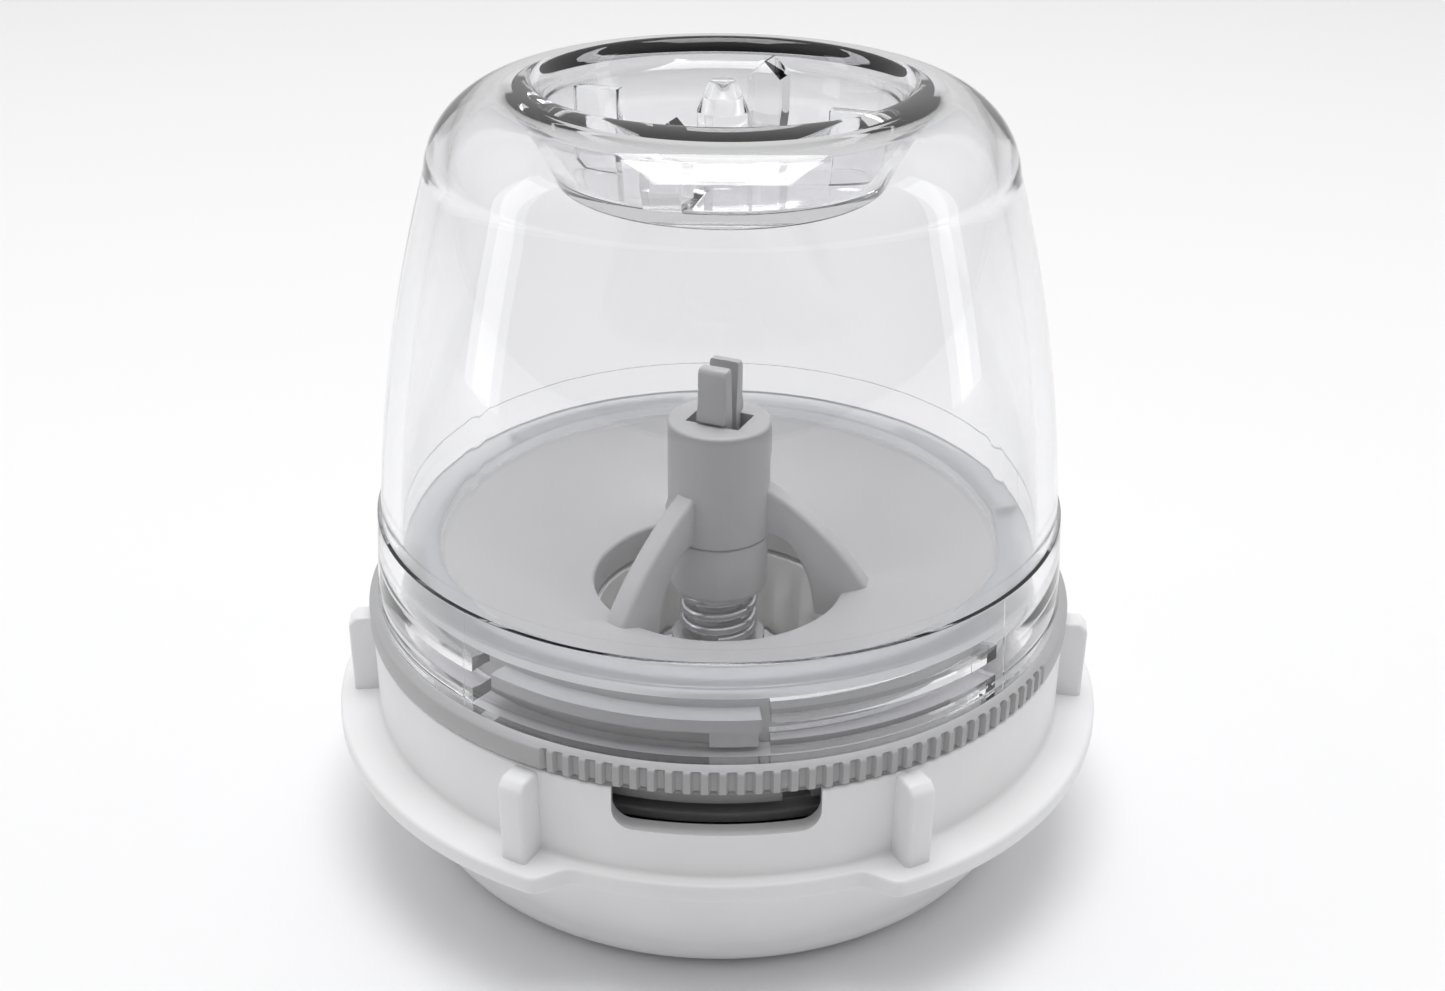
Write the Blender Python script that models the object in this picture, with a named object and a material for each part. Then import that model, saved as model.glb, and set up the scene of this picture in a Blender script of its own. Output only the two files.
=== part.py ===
"""Grinding-mill attachment for a kitchen machine.

A clear hopper jar stands upside down on a grey grinder head.  The head's hub, on three legs, holds a cup with
a spring that presses the rotor down on its drive.  A knurled ring sets the grind.  Below it are a white
collar with posts and a lobed flange, and a rounded bowl that the whole attachment stands on.

Every piece is turned about, or placed round, the Z axis, which is also the axis of every joint.
Heights are measured from the seat: the plane just under the jar's rim.
Angles are in degrees from the front (-Y), positive towards +X.
"""
import math

import bmesh
import bpy

MM = 0.001

# ---------------------------------------------------------------- driving dimensions
GAP = 0.3 * MM                    # free space between pieces that touch or fit together
SEAT_HEIGHT = 36.6 * MM           # height of the seat above the table
ROUND_STEPS = 48                  # sides of a large turned piece
SMALL_STEPS = 24                  # sides of a small turned piece
INNER_STEPS = 32                  # sides of a large turned piece that is out of sight

# hopper jar
JAR_RIM_RADIUS = 50.0 * MM        # outside, at the rim
JAR_STEP_RADIUS = JAR_RIM_RADIUS - 1.5 * MM       # outside, where the skirt's step is
JAR_STEP_HEIGHT = 14.4 * MM
JAR_STEP_DEPTH = 0.35 * MM
JAR_SHOULDER_RADIUS = JAR_RIM_RADIUS - 10.7 * MM  # outside, where the side turns into the shoulder
JAR_SIDE_BULGE = 1.35 * MM        # how far the side bows out between step and shoulder
JAR_HEIGHT = 73.4 * MM            # seat to the highest point
JAR_SHOULDER_HEIGHT = JAR_HEIGHT - 10.9 * MM
JAR_CREST_RADIUS = JAR_RIM_RADIUS - 23.5 * MM     # radius at the highest point
JAR_WALL = 3.0 * MM
JAR_SKIRT_WALL = 3.5 * MM
JAR_LEDGE_HEIGHT = 10.2 * MM      # inside step that the gasket seals under
WELL_MOUTH_RADIUS = JAR_CREST_RADIUS - 2.7 * MM
WELL_FOOT_RADIUS = WELL_MOUTH_RADIUS - 1.8 * MM   # outside, at the well's floor
WELL_FLOOR_HEIGHT = JAR_HEIGHT - 13.9 * MM        # underside of the well's floor
WELL_FLOOR = 2.0 * MM
WELL_WALL = 1.9 * MM
PIN_RADIUS = 3.4 * MM
PIN_TIP_RADIUS = 1.7 * MM
PIN_SHOULDER_HEIGHT = JAR_HEIGHT - 4.4 * MM
PIN_HEIGHT = JAR_HEIGHT - 0.4 * MM
FIN_START_ANGLE = -20.0
FIN_TAB_REACH = 6.4 * MM          # flat fins, inwards from the well's wall
FIN_TAB_THICKNESS = 2.2 * MM
FIN_TAB_HEIGHT = JAR_HEIGHT - 2.8 * MM
FIN_ROOF_REACH = 4.6 * MM         # fins with a pointed top
FIN_ROOF_THICKNESS = 4.8 * MM
FIN_ROOF_HEIGHT = JAR_HEIGHT - 1.4 * MM
FIN_ROOF_PITCH = 2.4 * MM         # height of the pointed top
RIB_COUNT = 4
RIB_START_ANGLE = 8.0
RIB_SWEEP = 41.0
RIB_DEPTH = 2.7 * MM              # inwards from the skirt's wall
RIB_LOW = (0.5 * MM, 2.5 * MM)    # bottom and top of the lower rib
RIB_HIGH = (4.9 * MM, 6.9 * MM)

# grinder body
PLATE_RADIUS = JAR_RIM_RADIUS - JAR_SKIRT_WALL - RIB_DEPTH - 1.1 * MM
PLATE_HEIGHT = 7.8 * MM           # top of the plate at its edge
PLATE_LAND = 2.2 * MM             # flat land that the gasket sits on
PLATE_WALL = 2.2 * MM
HOLE_RADIUS = 18.5 * MM
HOLE_HEIGHT = -0.3 * MM           # top of the plate at the hole
THROAT_WALL = 2.0 * MM
THROAT_FOOT = -5.0 * MM
SKIRT_WALL = 2.1 * MM
SKIRT_FOOT = -12.0 * MM
SKIRT_FOOT_REACH = 2.6 * MM       # the foot flange stands out this far from the skirt
SKIRT_FOOT_THICKNESS = 1.5 * MM
HUB_RADIUS = 7.5 * MM
HUB_LOW = 7.7 * MM
HUB_HIGH = 25.2 * MM
SLOT_LENGTH = 8.2 * MM
SLOT_WIDTH = 5.8 * MM
SLOT_ANGLE = -24.0
LEG_COUNT = 3
LEG_START_ANGLE = -41.0
LEG_THICKNESS = 3.4 * MM
LEG_TOP = 15.4 * MM
LEG_TOE_RADIUS = HOLE_RADIUS + 4.1 * MM
LEG_FOOT_DEPTH = 4.4 * MM         # how far the inner foot reaches below the seat
LUG_SWEEP = 46.0
LUG_LOW = 2.8 * MM
LUG_HIGH = 4.6 * MM
LUG_REACH = 2.6 * MM              # outwards from the skirt
STOP_SWEEP = 8.0

# grip ring
RING_RADIUS = JAR_RIM_RADIUS + 1.3 * MM
RING_HEIGHT = 3.3 * MM
RING_SKIRT_FOOT = -8.5 * MM
KNURL_PITCH = 5.0                 # degrees from tooth to tooth
KNURL_DEPTH = 0.7 * MM
KNURL_START = -25.0
KNURL_SWEEP = 85.0
KNURL_FIELDS = 2
CAM_GROOVE_HEIGHT = 3.8 * MM
CAM_GROOVE_DEPTH = 1.6 * MM
RING_INSIDE_RADIUS = PLATE_RADIUS + 0.5 * MM
RING_SKIRT_RADIUS = RING_INSIDE_RADIUS + CAM_GROOVE_DEPTH + 1.2 * MM
CAM_MIDDLE = -6.0 * MM
SKIRT_NOTCH_ANGLE = 13.0
SKIRT_NOTCH_SWEEP = 5.0

# white collar
COLLAR_RADIUS = RING_RADIUS - GAP
COLLAR_WALL = 2.4 * MM
COLLAR_FOOT = -18.9 * MM
FLANGE_THICKNESS = 2.7 * MM
FLANGE_RADIUS = COLLAR_RADIUS + 5.8 * MM
FLANGE_WAIST_RADIUS = COLLAR_RADIUS + 1.9 * MM
FLANGE_WAISTS = (0.0, 180.0)
FLANGE_WAIST_HALF = 20.2
FLANGE_BLEND = 4.6
WINDOW_HALF = 15.0
WINDOW_FOOT = -9.6 * MM
WINDOW_CORNER = 2.6 * MM
POST_ANGLES = (-28.5, 28.5, -83.0, 83.0, -151.5, 151.5)
POST_THICKNESS = 3.7 * MM
POST_REACH = 3.7 * MM
POST_TOP = -4.0 * MM
POST_CHAMFER = 1.1 * MM
TAB_COUNT = 3
TAB_SWEEP = 24.0
TAB_REACH = 4.6 * MM
TAB_THICKNESS = 1.6 * MM

# base bowl
BOWL_RIM_RADIUS = COLLAR_RADIUS - 1.0 * MM
BOWL_SIDE_RADIUS = BOWL_RIM_RADIUS - 3.5 * MM
BOWL_EDGE = 5.5 * MM              # radius of the rounded bottom edge
BOWL_WALL = 2.2 * MM
BOWL_FOOT_RING = 8.0 * MM         # width of the flat ring that it stands on
BOWL_RECESS = 1.6 * MM            # how far the underside is raised inside the foot ring
SPIGOT_ROOM = 1.6 * MM            # from the bowl's spigot to the collar's ledges above it
BOWL_SPIGOT_HEIGHT = SKIRT_FOOT - TAB_THICKNESS - SPIGOT_ROOM - COLLAR_FOOT
BOWL_SPIGOT_WALL = 2.1 * MM
POCKET_RADIUS = 13.0 * MM
POCKET_ROOF = -27.6 * MM
TOWER_TOP = -24.2 * MM
TOWER_RADIUS = 7.6 * MM

# rotor, spring and burrs
SHAFT_COLLAR_RADIUS = 5.6 * MM
JOURNAL_RADIUS = 1.6 * MM
JOURNAL_TOP = 6.8 * MM
ROTOR_TRAVEL = 1.2 * MM           # how far the rotor can rise against its spring
HOLDER_RADIUS = HUB_RADIUS - GAP
HOLDER_FOOT = -1.3 * MM
HOLDER_WALL = 0.9 * MM
HOLDER_ROOF = 3.0 * MM
PRONG_WIDTH = 4.6 * MM
PRONG_SLIT = 1.3 * MM
PRONG_TOP = 33.5 * MM
PRONG_BARB = 0.9 * MM
SPRING_WIRE = 0.75 * MM           # radius of the wire
SPRING_OUTSIDE_ROOM = 0.35 * MM   # from the wire to the cup around it
SPRING_INSIDE_ROOM = 0.95 * MM    # from the wire to the shaft inside it
SPRING_RADIUS = HOLDER_RADIUS - HOLDER_WALL - SPRING_WIRE - SPRING_OUTSIDE_ROOM
SHAFT_RADIUS = SPRING_RADIUS - SPRING_WIRE - SPRING_INSIDE_ROOM
SPRING_TURNS = 5
WASHER_RADIUS = 7.0 * MM
WASHER_TOP = -9.6 * MM
WASHER_THICKNESS = 1.0 * MM
CLIP_THICKNESS = 0.7 * MM
INNER_BURR_TOP_RADIUS = 8.0 * MM
INNER_BURR_FOOT_RADIUS = HOLE_RADIUS - 3.1 * MM
INNER_BURR_FLUTES = 14
INNER_BURR_FLUTE_DEPTH = 1.1 * MM
INNER_BURR_TWIST = 24.0
BURR_FOOT = -18.4 * MM
OUTER_BURR_RADIUS = HOLE_RADIUS + 3.4 * MM
OUTER_BURR_TEETH = 20
OUTER_BURR_TOOTH_DEPTH = 0.9 * MM
CARRIER_DISC_TOP = -7.5 * MM
CARRIER_DISC = 2.0 * MM
CARRIER_RIM_TOP = -4.3 * MM
CARRIER_TRAVEL = 0.5 * MM         # up and down, as the grip ring is turned
CLAMP_THICKNESS = 1.5 * MM
SCREW_CIRCLE_RADIUS = OUTER_BURR_RADIUS + 5.1 * MM
SCREW_RADIUS = 1.2 * MM
SCREW_HEAD_RADIUS = 2.2 * MM
SCREW_LENGTH = 7.0 * MM
CAM_PIN_RADIUS = 1.2 * MM
COUPLING_RADIUS = 11.0 * MM
COUPLING_TOP = -29.8 * MM
COUPLING_FOOT = -35.8 * MM
COUPLING_DOGS = 6
COUPLING_SCREW_RADIUS = 1.6 * MM
COUPLING_SCREW_HEAD_RADIUS = 4.4 * MM

# ---------------------------------------------------------------- helpers
MATERIALS = {}


def material(name, colour, roughness, metallic=0.0, alpha=1.0):
    """One plain Principled material per finish, made the first time it is asked for."""
    if name not in MATERIALS:
        made = bpy.data.materials.new(name)
        made.use_nodes = True
        shader = made.node_tree.nodes["Principled BSDF"]
        shader.inputs["Base Color"].default_value = (*colour, 1.0)
        shader.inputs["Roughness"].default_value = roughness
        shader.inputs["Metallic"].default_value = metallic
        shader.inputs["Alpha"].default_value = alpha
        made.diffuse_color = (*colour, alpha)
        MATERIALS[name] = made
    return MATERIALS[name]


def clear_plastic():
    return material("clear_plastic", (0.92, 0.94, 0.96), 0.05, alpha=0.35)


def grey_plastic():
    return material("grey_plastic", (0.42, 0.42, 0.43), 0.45)


def white_plastic():
    return material("white_plastic", (0.86, 0.86, 0.86), 0.4)


def ceramic():
    return material("ceramic", (0.56, 0.55, 0.54), 0.3)


def steel():
    return material("steel", (0.7, 0.7, 0.72), 0.2, metallic=1.0)


def black_rubber():
    return material("black_rubber", (0.015, 0.015, 0.016), 0.7)


def bronze():
    return material("bronze", (0.55, 0.38, 0.2), 0.35, metallic=1.0)


def polar(radius, angle, height):
    """A point from its radius, its angle from the front and its height."""
    turn = math.radians(angle)
    return (radius * math.sin(turn), -radius * math.cos(turn), height)


def link(name, mesh_data, finish, helper=False):
    """Put a bmesh into the scene as an object that stands on the seat plane."""
    bmesh.ops.recalc_face_normals(mesh_data, faces=mesh_data.faces)
    mesh = bpy.data.meshes.new(name)
    mesh_data.to_mesh(mesh)
    mesh_data.free()
    mesh.shade_smooth()
    mesh.set_sharp_from_angle(angle=math.radians(30.0))
    made = bpy.data.objects.new(name, mesh)
    made.location = (0.0, 0.0, SEAT_HEIGHT)
    bpy.context.collection.objects.link(made)
    if helper:
        made.hide_render = True
        made.display_type = "WIRE"
    else:
        mesh.materials.append(finish)
    return made


def add_turned(mesh_data, outline, steps):
    """Turn an outline of (radius, height) points round Z; one that ends on the axis stays open there."""
    on_axis = outline[0][0] == 0.0
    corners = [mesh_data.verts.new((radius, 0.0, height)) for radius, height in outline]
    count = len(corners)
    sides = [mesh_data.edges.new((corners[i], corners[i + 1])) for i in range(count - 1)]
    if not on_axis:
        sides.append(mesh_data.edges.new((corners[-1], corners[0])))
    bmesh.ops.spin(mesh_data, geom=corners + sides, axis=(0, 0, 1), cent=(0, 0, 0),
                   angle=2.0 * math.pi, steps=steps, use_merge=True)
    bmesh.ops.remove_doubles(mesh_data, verts=mesh_data.verts, dist=0.001 * MM)


def turned(name, outline, finish, steps=ROUND_STEPS, helper=False):
    mesh_data = bmesh.new()
    add_turned(mesh_data, outline, steps)
    return link(name, mesh_data, finish, helper)


def add_loft(mesh_data, rings):
    """Join closed rings of points, bottom to top, and cap both ends."""
    rows = [[mesh_data.verts.new(point) for point in ring] for ring in rings]
    for low, high in zip(rows, rows[1:]):
        for i in range(len(low)):
            j = (i + 1) % len(low)
            mesh_data.faces.new((low[i], low[j], high[j], high[i]))
    mesh_data.faces.new(list(reversed(rows[0])))
    mesh_data.faces.new(rows[-1])


def add_tube(mesh_data, outer_rings, inner_rings):
    """Join outer and inner closed rings of equal count into a wall with flat ends."""
    outer = [[mesh_data.verts.new(point) for point in ring] for ring in outer_rings]
    inner = [[mesh_data.verts.new(point) for point in ring] for ring in inner_rings]
    for rows, flip in ((outer, False), (inner, True)):
        for low, high in zip(rows, rows[1:]):
            for i in range(len(low)):
                j = (i + 1) % len(low)
                face = (low[i], low[j], high[j], high[i])
                mesh_data.faces.new(tuple(reversed(face)) if flip else face)
    for rim_out, rim_in, flip in ((outer[-1], inner[-1], False), (outer[0], inner[0], True)):
        for i in range(len(rim_out)):
            j = (i + 1) % len(rim_out)
            face = (rim_out[i], rim_out[j], rim_in[j], rim_in[i])
            mesh_data.faces.new(tuple(reversed(face)) if flip else face)


def add_arc_block(mesh_data, inner, outer, start, sweep, low, high):
    """A block bent round the axis: part of a ring from angle start over sweep degrees."""
    steps = max(2, round(sweep / 7.5))
    angles = [start + sweep * i / steps for i in range(steps + 1)]
    ring = [(outer, angle) for angle in angles] + [(inner, angle) for angle in reversed(angles)]
    add_loft(mesh_data, [[polar(radius, angle, height) for radius, angle in ring] for height in (low, high)])


def add_radial_plate(mesh_data, outline, thickness, angle):
    """Extrude an outline of (radius, height) points into an upright plate that points along an angle."""
    across = polar(0.5 * thickness, angle + 90.0, 0.0)
    faces = []
    for side in (-1.0, 1.0):
        ring = [polar(radius, angle, height) for radius, height in outline]
        faces.append([(x + side * across[0], y + side * across[1], z) for x, y, z in ring])
    add_loft(mesh_data, faces)


def box_ring(length, width, angle, height):
    """Corners of a rectangle round the axis, its width along the direction at angle."""
    along = polar(1.0, angle + 90.0, 0.0)
    across = polar(1.0, angle + 180.0, 0.0)
    corners = ((-1, -1), (1, -1), (1, 1), (-1, 1))
    return [(0.5 * (a * length * along[0] + b * width * across[0]),
             0.5 * (a * length * along[1] + b * width * across[1]), height) for a, b in corners]


def helper_solid(name, build):
    """A guide solid made by calling build on an empty bmesh; it is only used by Booleans."""
    mesh_data = bmesh.new()
    build(mesh_data)
    return link(name, mesh_data, None, helper=True)


def combine(target, tool, operation):
    """Add a Boolean with an exact solver to the target."""
    step = target.modifiers.new(tool.name, "BOOLEAN")
    step.operation = operation
    step.solver = "EXACT"
    step.object = tool


def arc(start, end, bulge, steps):
    """Points on a circular arc from start to end that bows out by bulge to the right of its run."""
    (x0, y0), (x1, y1) = start, end
    length = math.hypot(x1 - x0, y1 - y0)
    radius = (0.25 * length * length + bulge * bulge) / (2.0 * bulge)
    half = math.asin(0.5 * length / radius)
    across = ((y1 - y0) / length, -(x1 - x0) / length)
    middle = (0.5 * (x0 + x1), 0.5 * (y0 + y1))
    centre = (middle[0] - across[0] * (radius - bulge), middle[1] - across[1] * (radius - bulge))
    points = []
    for i in range(steps + 1):
        turn = half * (2.0 * i / steps - 1.0)
        along = radius * math.sin(turn)
        out = radius * math.cos(turn)
        points.append((centre[0] + across[0] * out + (x1 - x0) / length * along,
                       centre[1] + across[1] * out + (y1 - y0) / length * along))
    return points


def ellipse_corner(start, corner, end, steps):
    """A quarter of an ellipse from start to end that is tangent to both legs through corner."""
    points = []
    for i in range(1, steps):
        turn = 0.5 * math.pi * i / steps
        points.append(tuple(corner[k] + (start[k] - corner[k]) * (1.0 - math.sin(turn))
                            + (end[k] - corner[k]) * (1.0 - math.cos(turn)) for k in range(2)))
    return points


# ---------------------------------------------------------------- hopper jar
def jar_outline():
    """Outside from rim to crest, down into the well, and back under it to the rim's inside."""
    rim = GAP
    step_low = (JAR_STEP_RADIUS + JAR_STEP_DEPTH, JAR_STEP_HEIGHT - JAR_STEP_DEPTH)
    side = arc((JAR_STEP_RADIUS, JAR_STEP_HEIGHT), (JAR_SHOULDER_RADIUS, JAR_SHOULDER_HEIGHT),
               JAR_SIDE_BULGE, 5)
    crest = (JAR_CREST_RADIUS, JAR_HEIGHT)
    shoulder = ellipse_corner(side[-1], (JAR_SHOULDER_RADIUS - 1.0 * MM, JAR_HEIGHT), crest, 5)
    mouth_low = (WELL_MOUTH_RADIUS - 0.4 * MM, JAR_HEIGHT - 3.4 * MM)
    lip = ellipse_corner(crest, (mouth_low[0] + 0.1 * MM, JAR_HEIGHT), mouth_low, 3)
    floor_top = WELL_FLOOR_HEIGHT + WELL_FLOOR
    well = [mouth_low, (WELL_FOOT_RADIUS - WELL_WALL, floor_top), (0.0, floor_top)]
    outside = [(JAR_RIM_RADIUS, rim), step_low] + side + shoulder + [crest] + lip + well

    ceiling = JAR_HEIGHT - JAR_WALL
    inner_shoulder = (JAR_SHOULDER_RADIUS - JAR_WALL, JAR_SHOULDER_HEIGHT - 1.0 * MM)
    ledge_radius = JAR_STEP_RADIUS - JAR_WALL
    inner_side = arc((ledge_radius, JAR_LEDGE_HEIGHT), inner_shoulder, JAR_SIDE_BULGE, 4)
    ceiling_end = (WELL_MOUTH_RADIUS + WELL_WALL + 1.4 * MM, ceiling)
    inner_corner = ellipse_corner(inner_shoulder, (inner_shoulder[0] - 0.6 * MM, ceiling), ceiling_end, 4)
    well_back = [(WELL_MOUTH_RADIUS + WELL_WALL - 0.2 * MM, ceiling - 1.6 * MM),
                 (WELL_FOOT_RADIUS, WELL_FLOOR_HEIGHT), (0.0, WELL_FLOOR_HEIGHT)]
    skirt_inside = JAR_RIM_RADIUS - JAR_SKIRT_WALL
    inside = [(skirt_inside, rim), (skirt_inside, JAR_LEDGE_HEIGHT)] + inner_side + inner_corner
    inside += [ceiling_end] + well_back
    return list(reversed(outside)) + inside


def jar_fins(mesh_data):
    """Two pointed and two flat fins, alternating round the well, sunk into its wall and floor."""
    root = WELL_FLOOR_HEIGHT + 0.5 * WELL_FLOOR
    wall = WELL_FOOT_RADIUS - 0.5 * WELL_WALL
    for number in range(4):
        angle = FIN_START_ANGLE + 90.0 * number
        if number % 2 == 0:
            add_pointed_fin(mesh_data, angle, root, wall)
        else:
            tip = wall - FIN_TAB_REACH
            outline = [(tip, root), (wall, root), (wall, FIN_TAB_HEIGHT), (tip, FIN_TAB_HEIGHT)]
            add_radial_plate(mesh_data, outline, FIN_TAB_THICKNESS, angle)


def add_pointed_fin(mesh_data, angle, root, wall):
    """A house-shaped section carried from the fin's tip to the well's wall."""
    across = 0.5 * FIN_ROOF_THICKNESS
    eaves = FIN_ROOF_HEIGHT - FIN_ROOF_PITCH
    section = ((-across, root), (across, root), (across, eaves), (0.0, FIN_ROOF_HEIGHT), (-across, eaves))
    rings = []
    for radius in (wall - FIN_ROOF_REACH, wall):
        base = polar(radius, angle, 0.0)
        sides = [polar(offset, angle + 90.0, height) for offset, height in section]
        rings.append([(base[0] + x, base[1] + y, height) for x, y, height in sides])
    add_loft(mesh_data, rings)


def jar_ribs(mesh_data):
    wall = JAR_RIM_RADIUS - JAR_SKIRT_WALL
    for number in range(RIB_COUNT):
        start = RIB_START_ANGLE + 360.0 / RIB_COUNT * number
        for low, high in (RIB_LOW, RIB_HIGH):
            add_arc_block(mesh_data, wall - RIB_DEPTH, wall + 0.6 * MM, start, RIB_SWEEP, low, high)


def make_hopper_jar():
    jar = turned("hopper_jar", jar_outline(), clear_plastic())
    pin = [(0.0, WELL_FLOOR_HEIGHT + 0.5 * WELL_FLOOR), (PIN_RADIUS, WELL_FLOOR_HEIGHT + 0.5 * WELL_FLOOR),
           (PIN_RADIUS, PIN_SHOULDER_HEIGHT), (PIN_TIP_RADIUS, PIN_HEIGHT), (0.0, PIN_HEIGHT)]
    combine(jar, turned("jar_pin_tool", pin, None, 20, helper=True), "UNION")
    combine(jar, helper_solid("jar_fins_tool", jar_fins), "UNION")
    combine(jar, helper_solid("jar_ribs_tool", jar_ribs), "UNION")


def make_jar_gasket():
    inside = PLATE_RADIUS - PLATE_LAND
    outside = JAR_RIM_RADIUS - JAR_SKIRT_WALL - GAP
    low = PLATE_HEIGHT + GAP
    high = JAR_LEDGE_HEIGHT - GAP
    turned("jar_gasket", [(outside, high), (outside, low), (inside, low), (inside, high)], clear_plastic(),
           INNER_STEPS)


# ---------------------------------------------------------------- grinder head
def grinder_outline():
    """Land, dished plate and throat on top; the skirt and its foot flange outside."""
    skirt_inside = PLATE_RADIUS - SKIRT_WALL
    foot_radius = PLATE_RADIUS + SKIRT_FOOT_REACH
    throat = HOLE_RADIUS + THROAT_WALL
    return [(PLATE_RADIUS, PLATE_HEIGHT),
            (PLATE_RADIUS, SKIRT_FOOT + SKIRT_FOOT_THICKNESS),
            (foot_radius, SKIRT_FOOT + SKIRT_FOOT_THICKNESS),
            (foot_radius, SKIRT_FOOT),
            (skirt_inside, SKIRT_FOOT),
            (skirt_inside, PLATE_HEIGHT - 1.3 * PLATE_WALL),
            (throat, HOLE_HEIGHT - PLATE_WALL),
            (throat, THROAT_FOOT),
            (HOLE_RADIUS, THROAT_FOOT),
            (HOLE_RADIUS, HOLE_HEIGHT),
            (PLATE_RADIUS - PLATE_LAND - 0.6 * MM, PLATE_HEIGHT - 0.4 * MM),
            (PLATE_RADIUS - PLATE_LAND, PLATE_HEIGHT)]


def grinder_legs(mesh_data):
    """Three arched legs: a bowed back from hub to toe, and an arch inside from the foot up to the hub."""
    inside = HUB_RADIUS - 2.0 * MM
    plate_slope = (PLATE_HEIGHT - HOLE_HEIGHT) / (PLATE_RADIUS - HOLE_RADIUS)
    toe_height = HOLE_HEIGHT + plate_slope * (LEG_TOE_RADIUS - HOLE_RADIUS) - 0.4 * MM
    throat_middle = HOLE_RADIUS + 0.5 * THROAT_WALL
    inner_foot = HOLE_RADIUS - 3.9 * MM
    back = arc((LEG_TOE_RADIUS, toe_height), (HUB_RADIUS, LEG_TOP), 1.2 * MM, 5)
    arch = arch_outline(inner_foot)
    outline = back + [(inside, LEG_TOP), (inside, HUB_LOW + 0.3 * MM)] + arch
    outline += [(throat_middle, -LEG_FOOT_DEPTH), (throat_middle, HOLE_HEIGHT - 0.5 * PLATE_WALL)]
    for number in range(LEG_COUNT):
        add_radial_plate(mesh_data, outline, LEG_THICKNESS, LEG_START_ANGLE + 360.0 / LEG_COUNT * number)


def arch_outline(inner_foot):
    """The leg's inner edge: level under the hub, then curving down to the inner foot."""
    start = (HUB_RADIUS, HUB_LOW + 0.3 * MM)
    end = (inner_foot, -LEG_FOOT_DEPTH)
    return [start] + ellipse_corner(start, (inner_foot - 0.8 * MM, start[1]), end, 5) + [end]


def grinder_lugs(mesh_data):
    """Lugs that slide between the jar's two rows of ribs."""
    for number in range(RIB_COUNT):
        start = RIB_START_ANGLE - 1.0 - LUG_SWEEP + 360.0 / RIB_COUNT * number
        add_arc_block(mesh_data, PLATE_RADIUS - 0.5 * SKIRT_WALL, PLATE_RADIUS + LUG_REACH, start, LUG_SWEEP,
                      LUG_LOW, LUG_HIGH)


def grinder_stops(mesh_data):
    """Blocks under the lugs' ends that stop the jar's lower ribs."""
    for number in range(RIB_COUNT):
        start = RIB_START_ANGLE - 1.4 - STOP_SWEEP + 360.0 / RIB_COUNT * number
        add_arc_block(mesh_data, PLATE_RADIUS - 0.5 * SKIRT_WALL, PLATE_RADIUS + LUG_REACH - 0.2 * MM, start,
                      STOP_SWEEP, 2.0 * GAP, 0.5 * (LUG_LOW + LUG_HIGH))


def pin_slots(mesh_data):
    """Upright slots in the skirt that the adjuster pins run in."""
    for number in range(TAB_COUNT):
        angle = pin_angle(number)
        half = CAM_PIN_RADIUS + GAP + CARRIER_TRAVEL
        inner = PLATE_RADIUS - 2.0 * SKIRT_WALL
        outer = PLATE_RADIUS + SKIRT_WALL
        outline = [(inner, CAM_MIDDLE - half), (outer, CAM_MIDDLE - half),
                   (outer, CAM_MIDDLE + half), (inner, CAM_MIDDLE + half)]
        add_radial_plate(mesh_data, outline, 2.0 * (CAM_PIN_RADIUS + GAP), angle)


def pin_angle(number):
    return 60.0 + 360.0 / TAB_COUNT * number


def make_grinder_body():
    body = turned("grinder_body", grinder_outline(), grey_plastic())
    combine(body, helper_solid("legs_tool", grinder_legs), "UNION")
    hub = [(0.0, HUB_LOW), (HUB_RADIUS, HUB_LOW), (HUB_RADIUS, HUB_HIGH - 0.4 * MM),
           (HUB_RADIUS - 0.4 * MM, HUB_HIGH), (0.0, HUB_HIGH)]
    combine(body, turned("hub_tool", hub, None, SMALL_STEPS, helper=True), "UNION")
    combine(body, helper_solid("lugs_tool", grinder_lugs), "UNION")
    combine(body, helper_solid("stops_tool", grinder_stops), "UNION")

    def slot(mesh_data):
        add_loft(mesh_data, [box_ring(SLOT_LENGTH, SLOT_WIDTH, SLOT_ANGLE, height)
                             for height in (HUB_LOW - 3.0 * MM, HUB_HIGH + 3.0 * MM)])

    combine(body, helper_solid("hub_slot_tool", slot), "DIFFERENCE")
    combine(body, helper_solid("pin_slots_tool", pin_slots), "DIFFERENCE")


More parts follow.
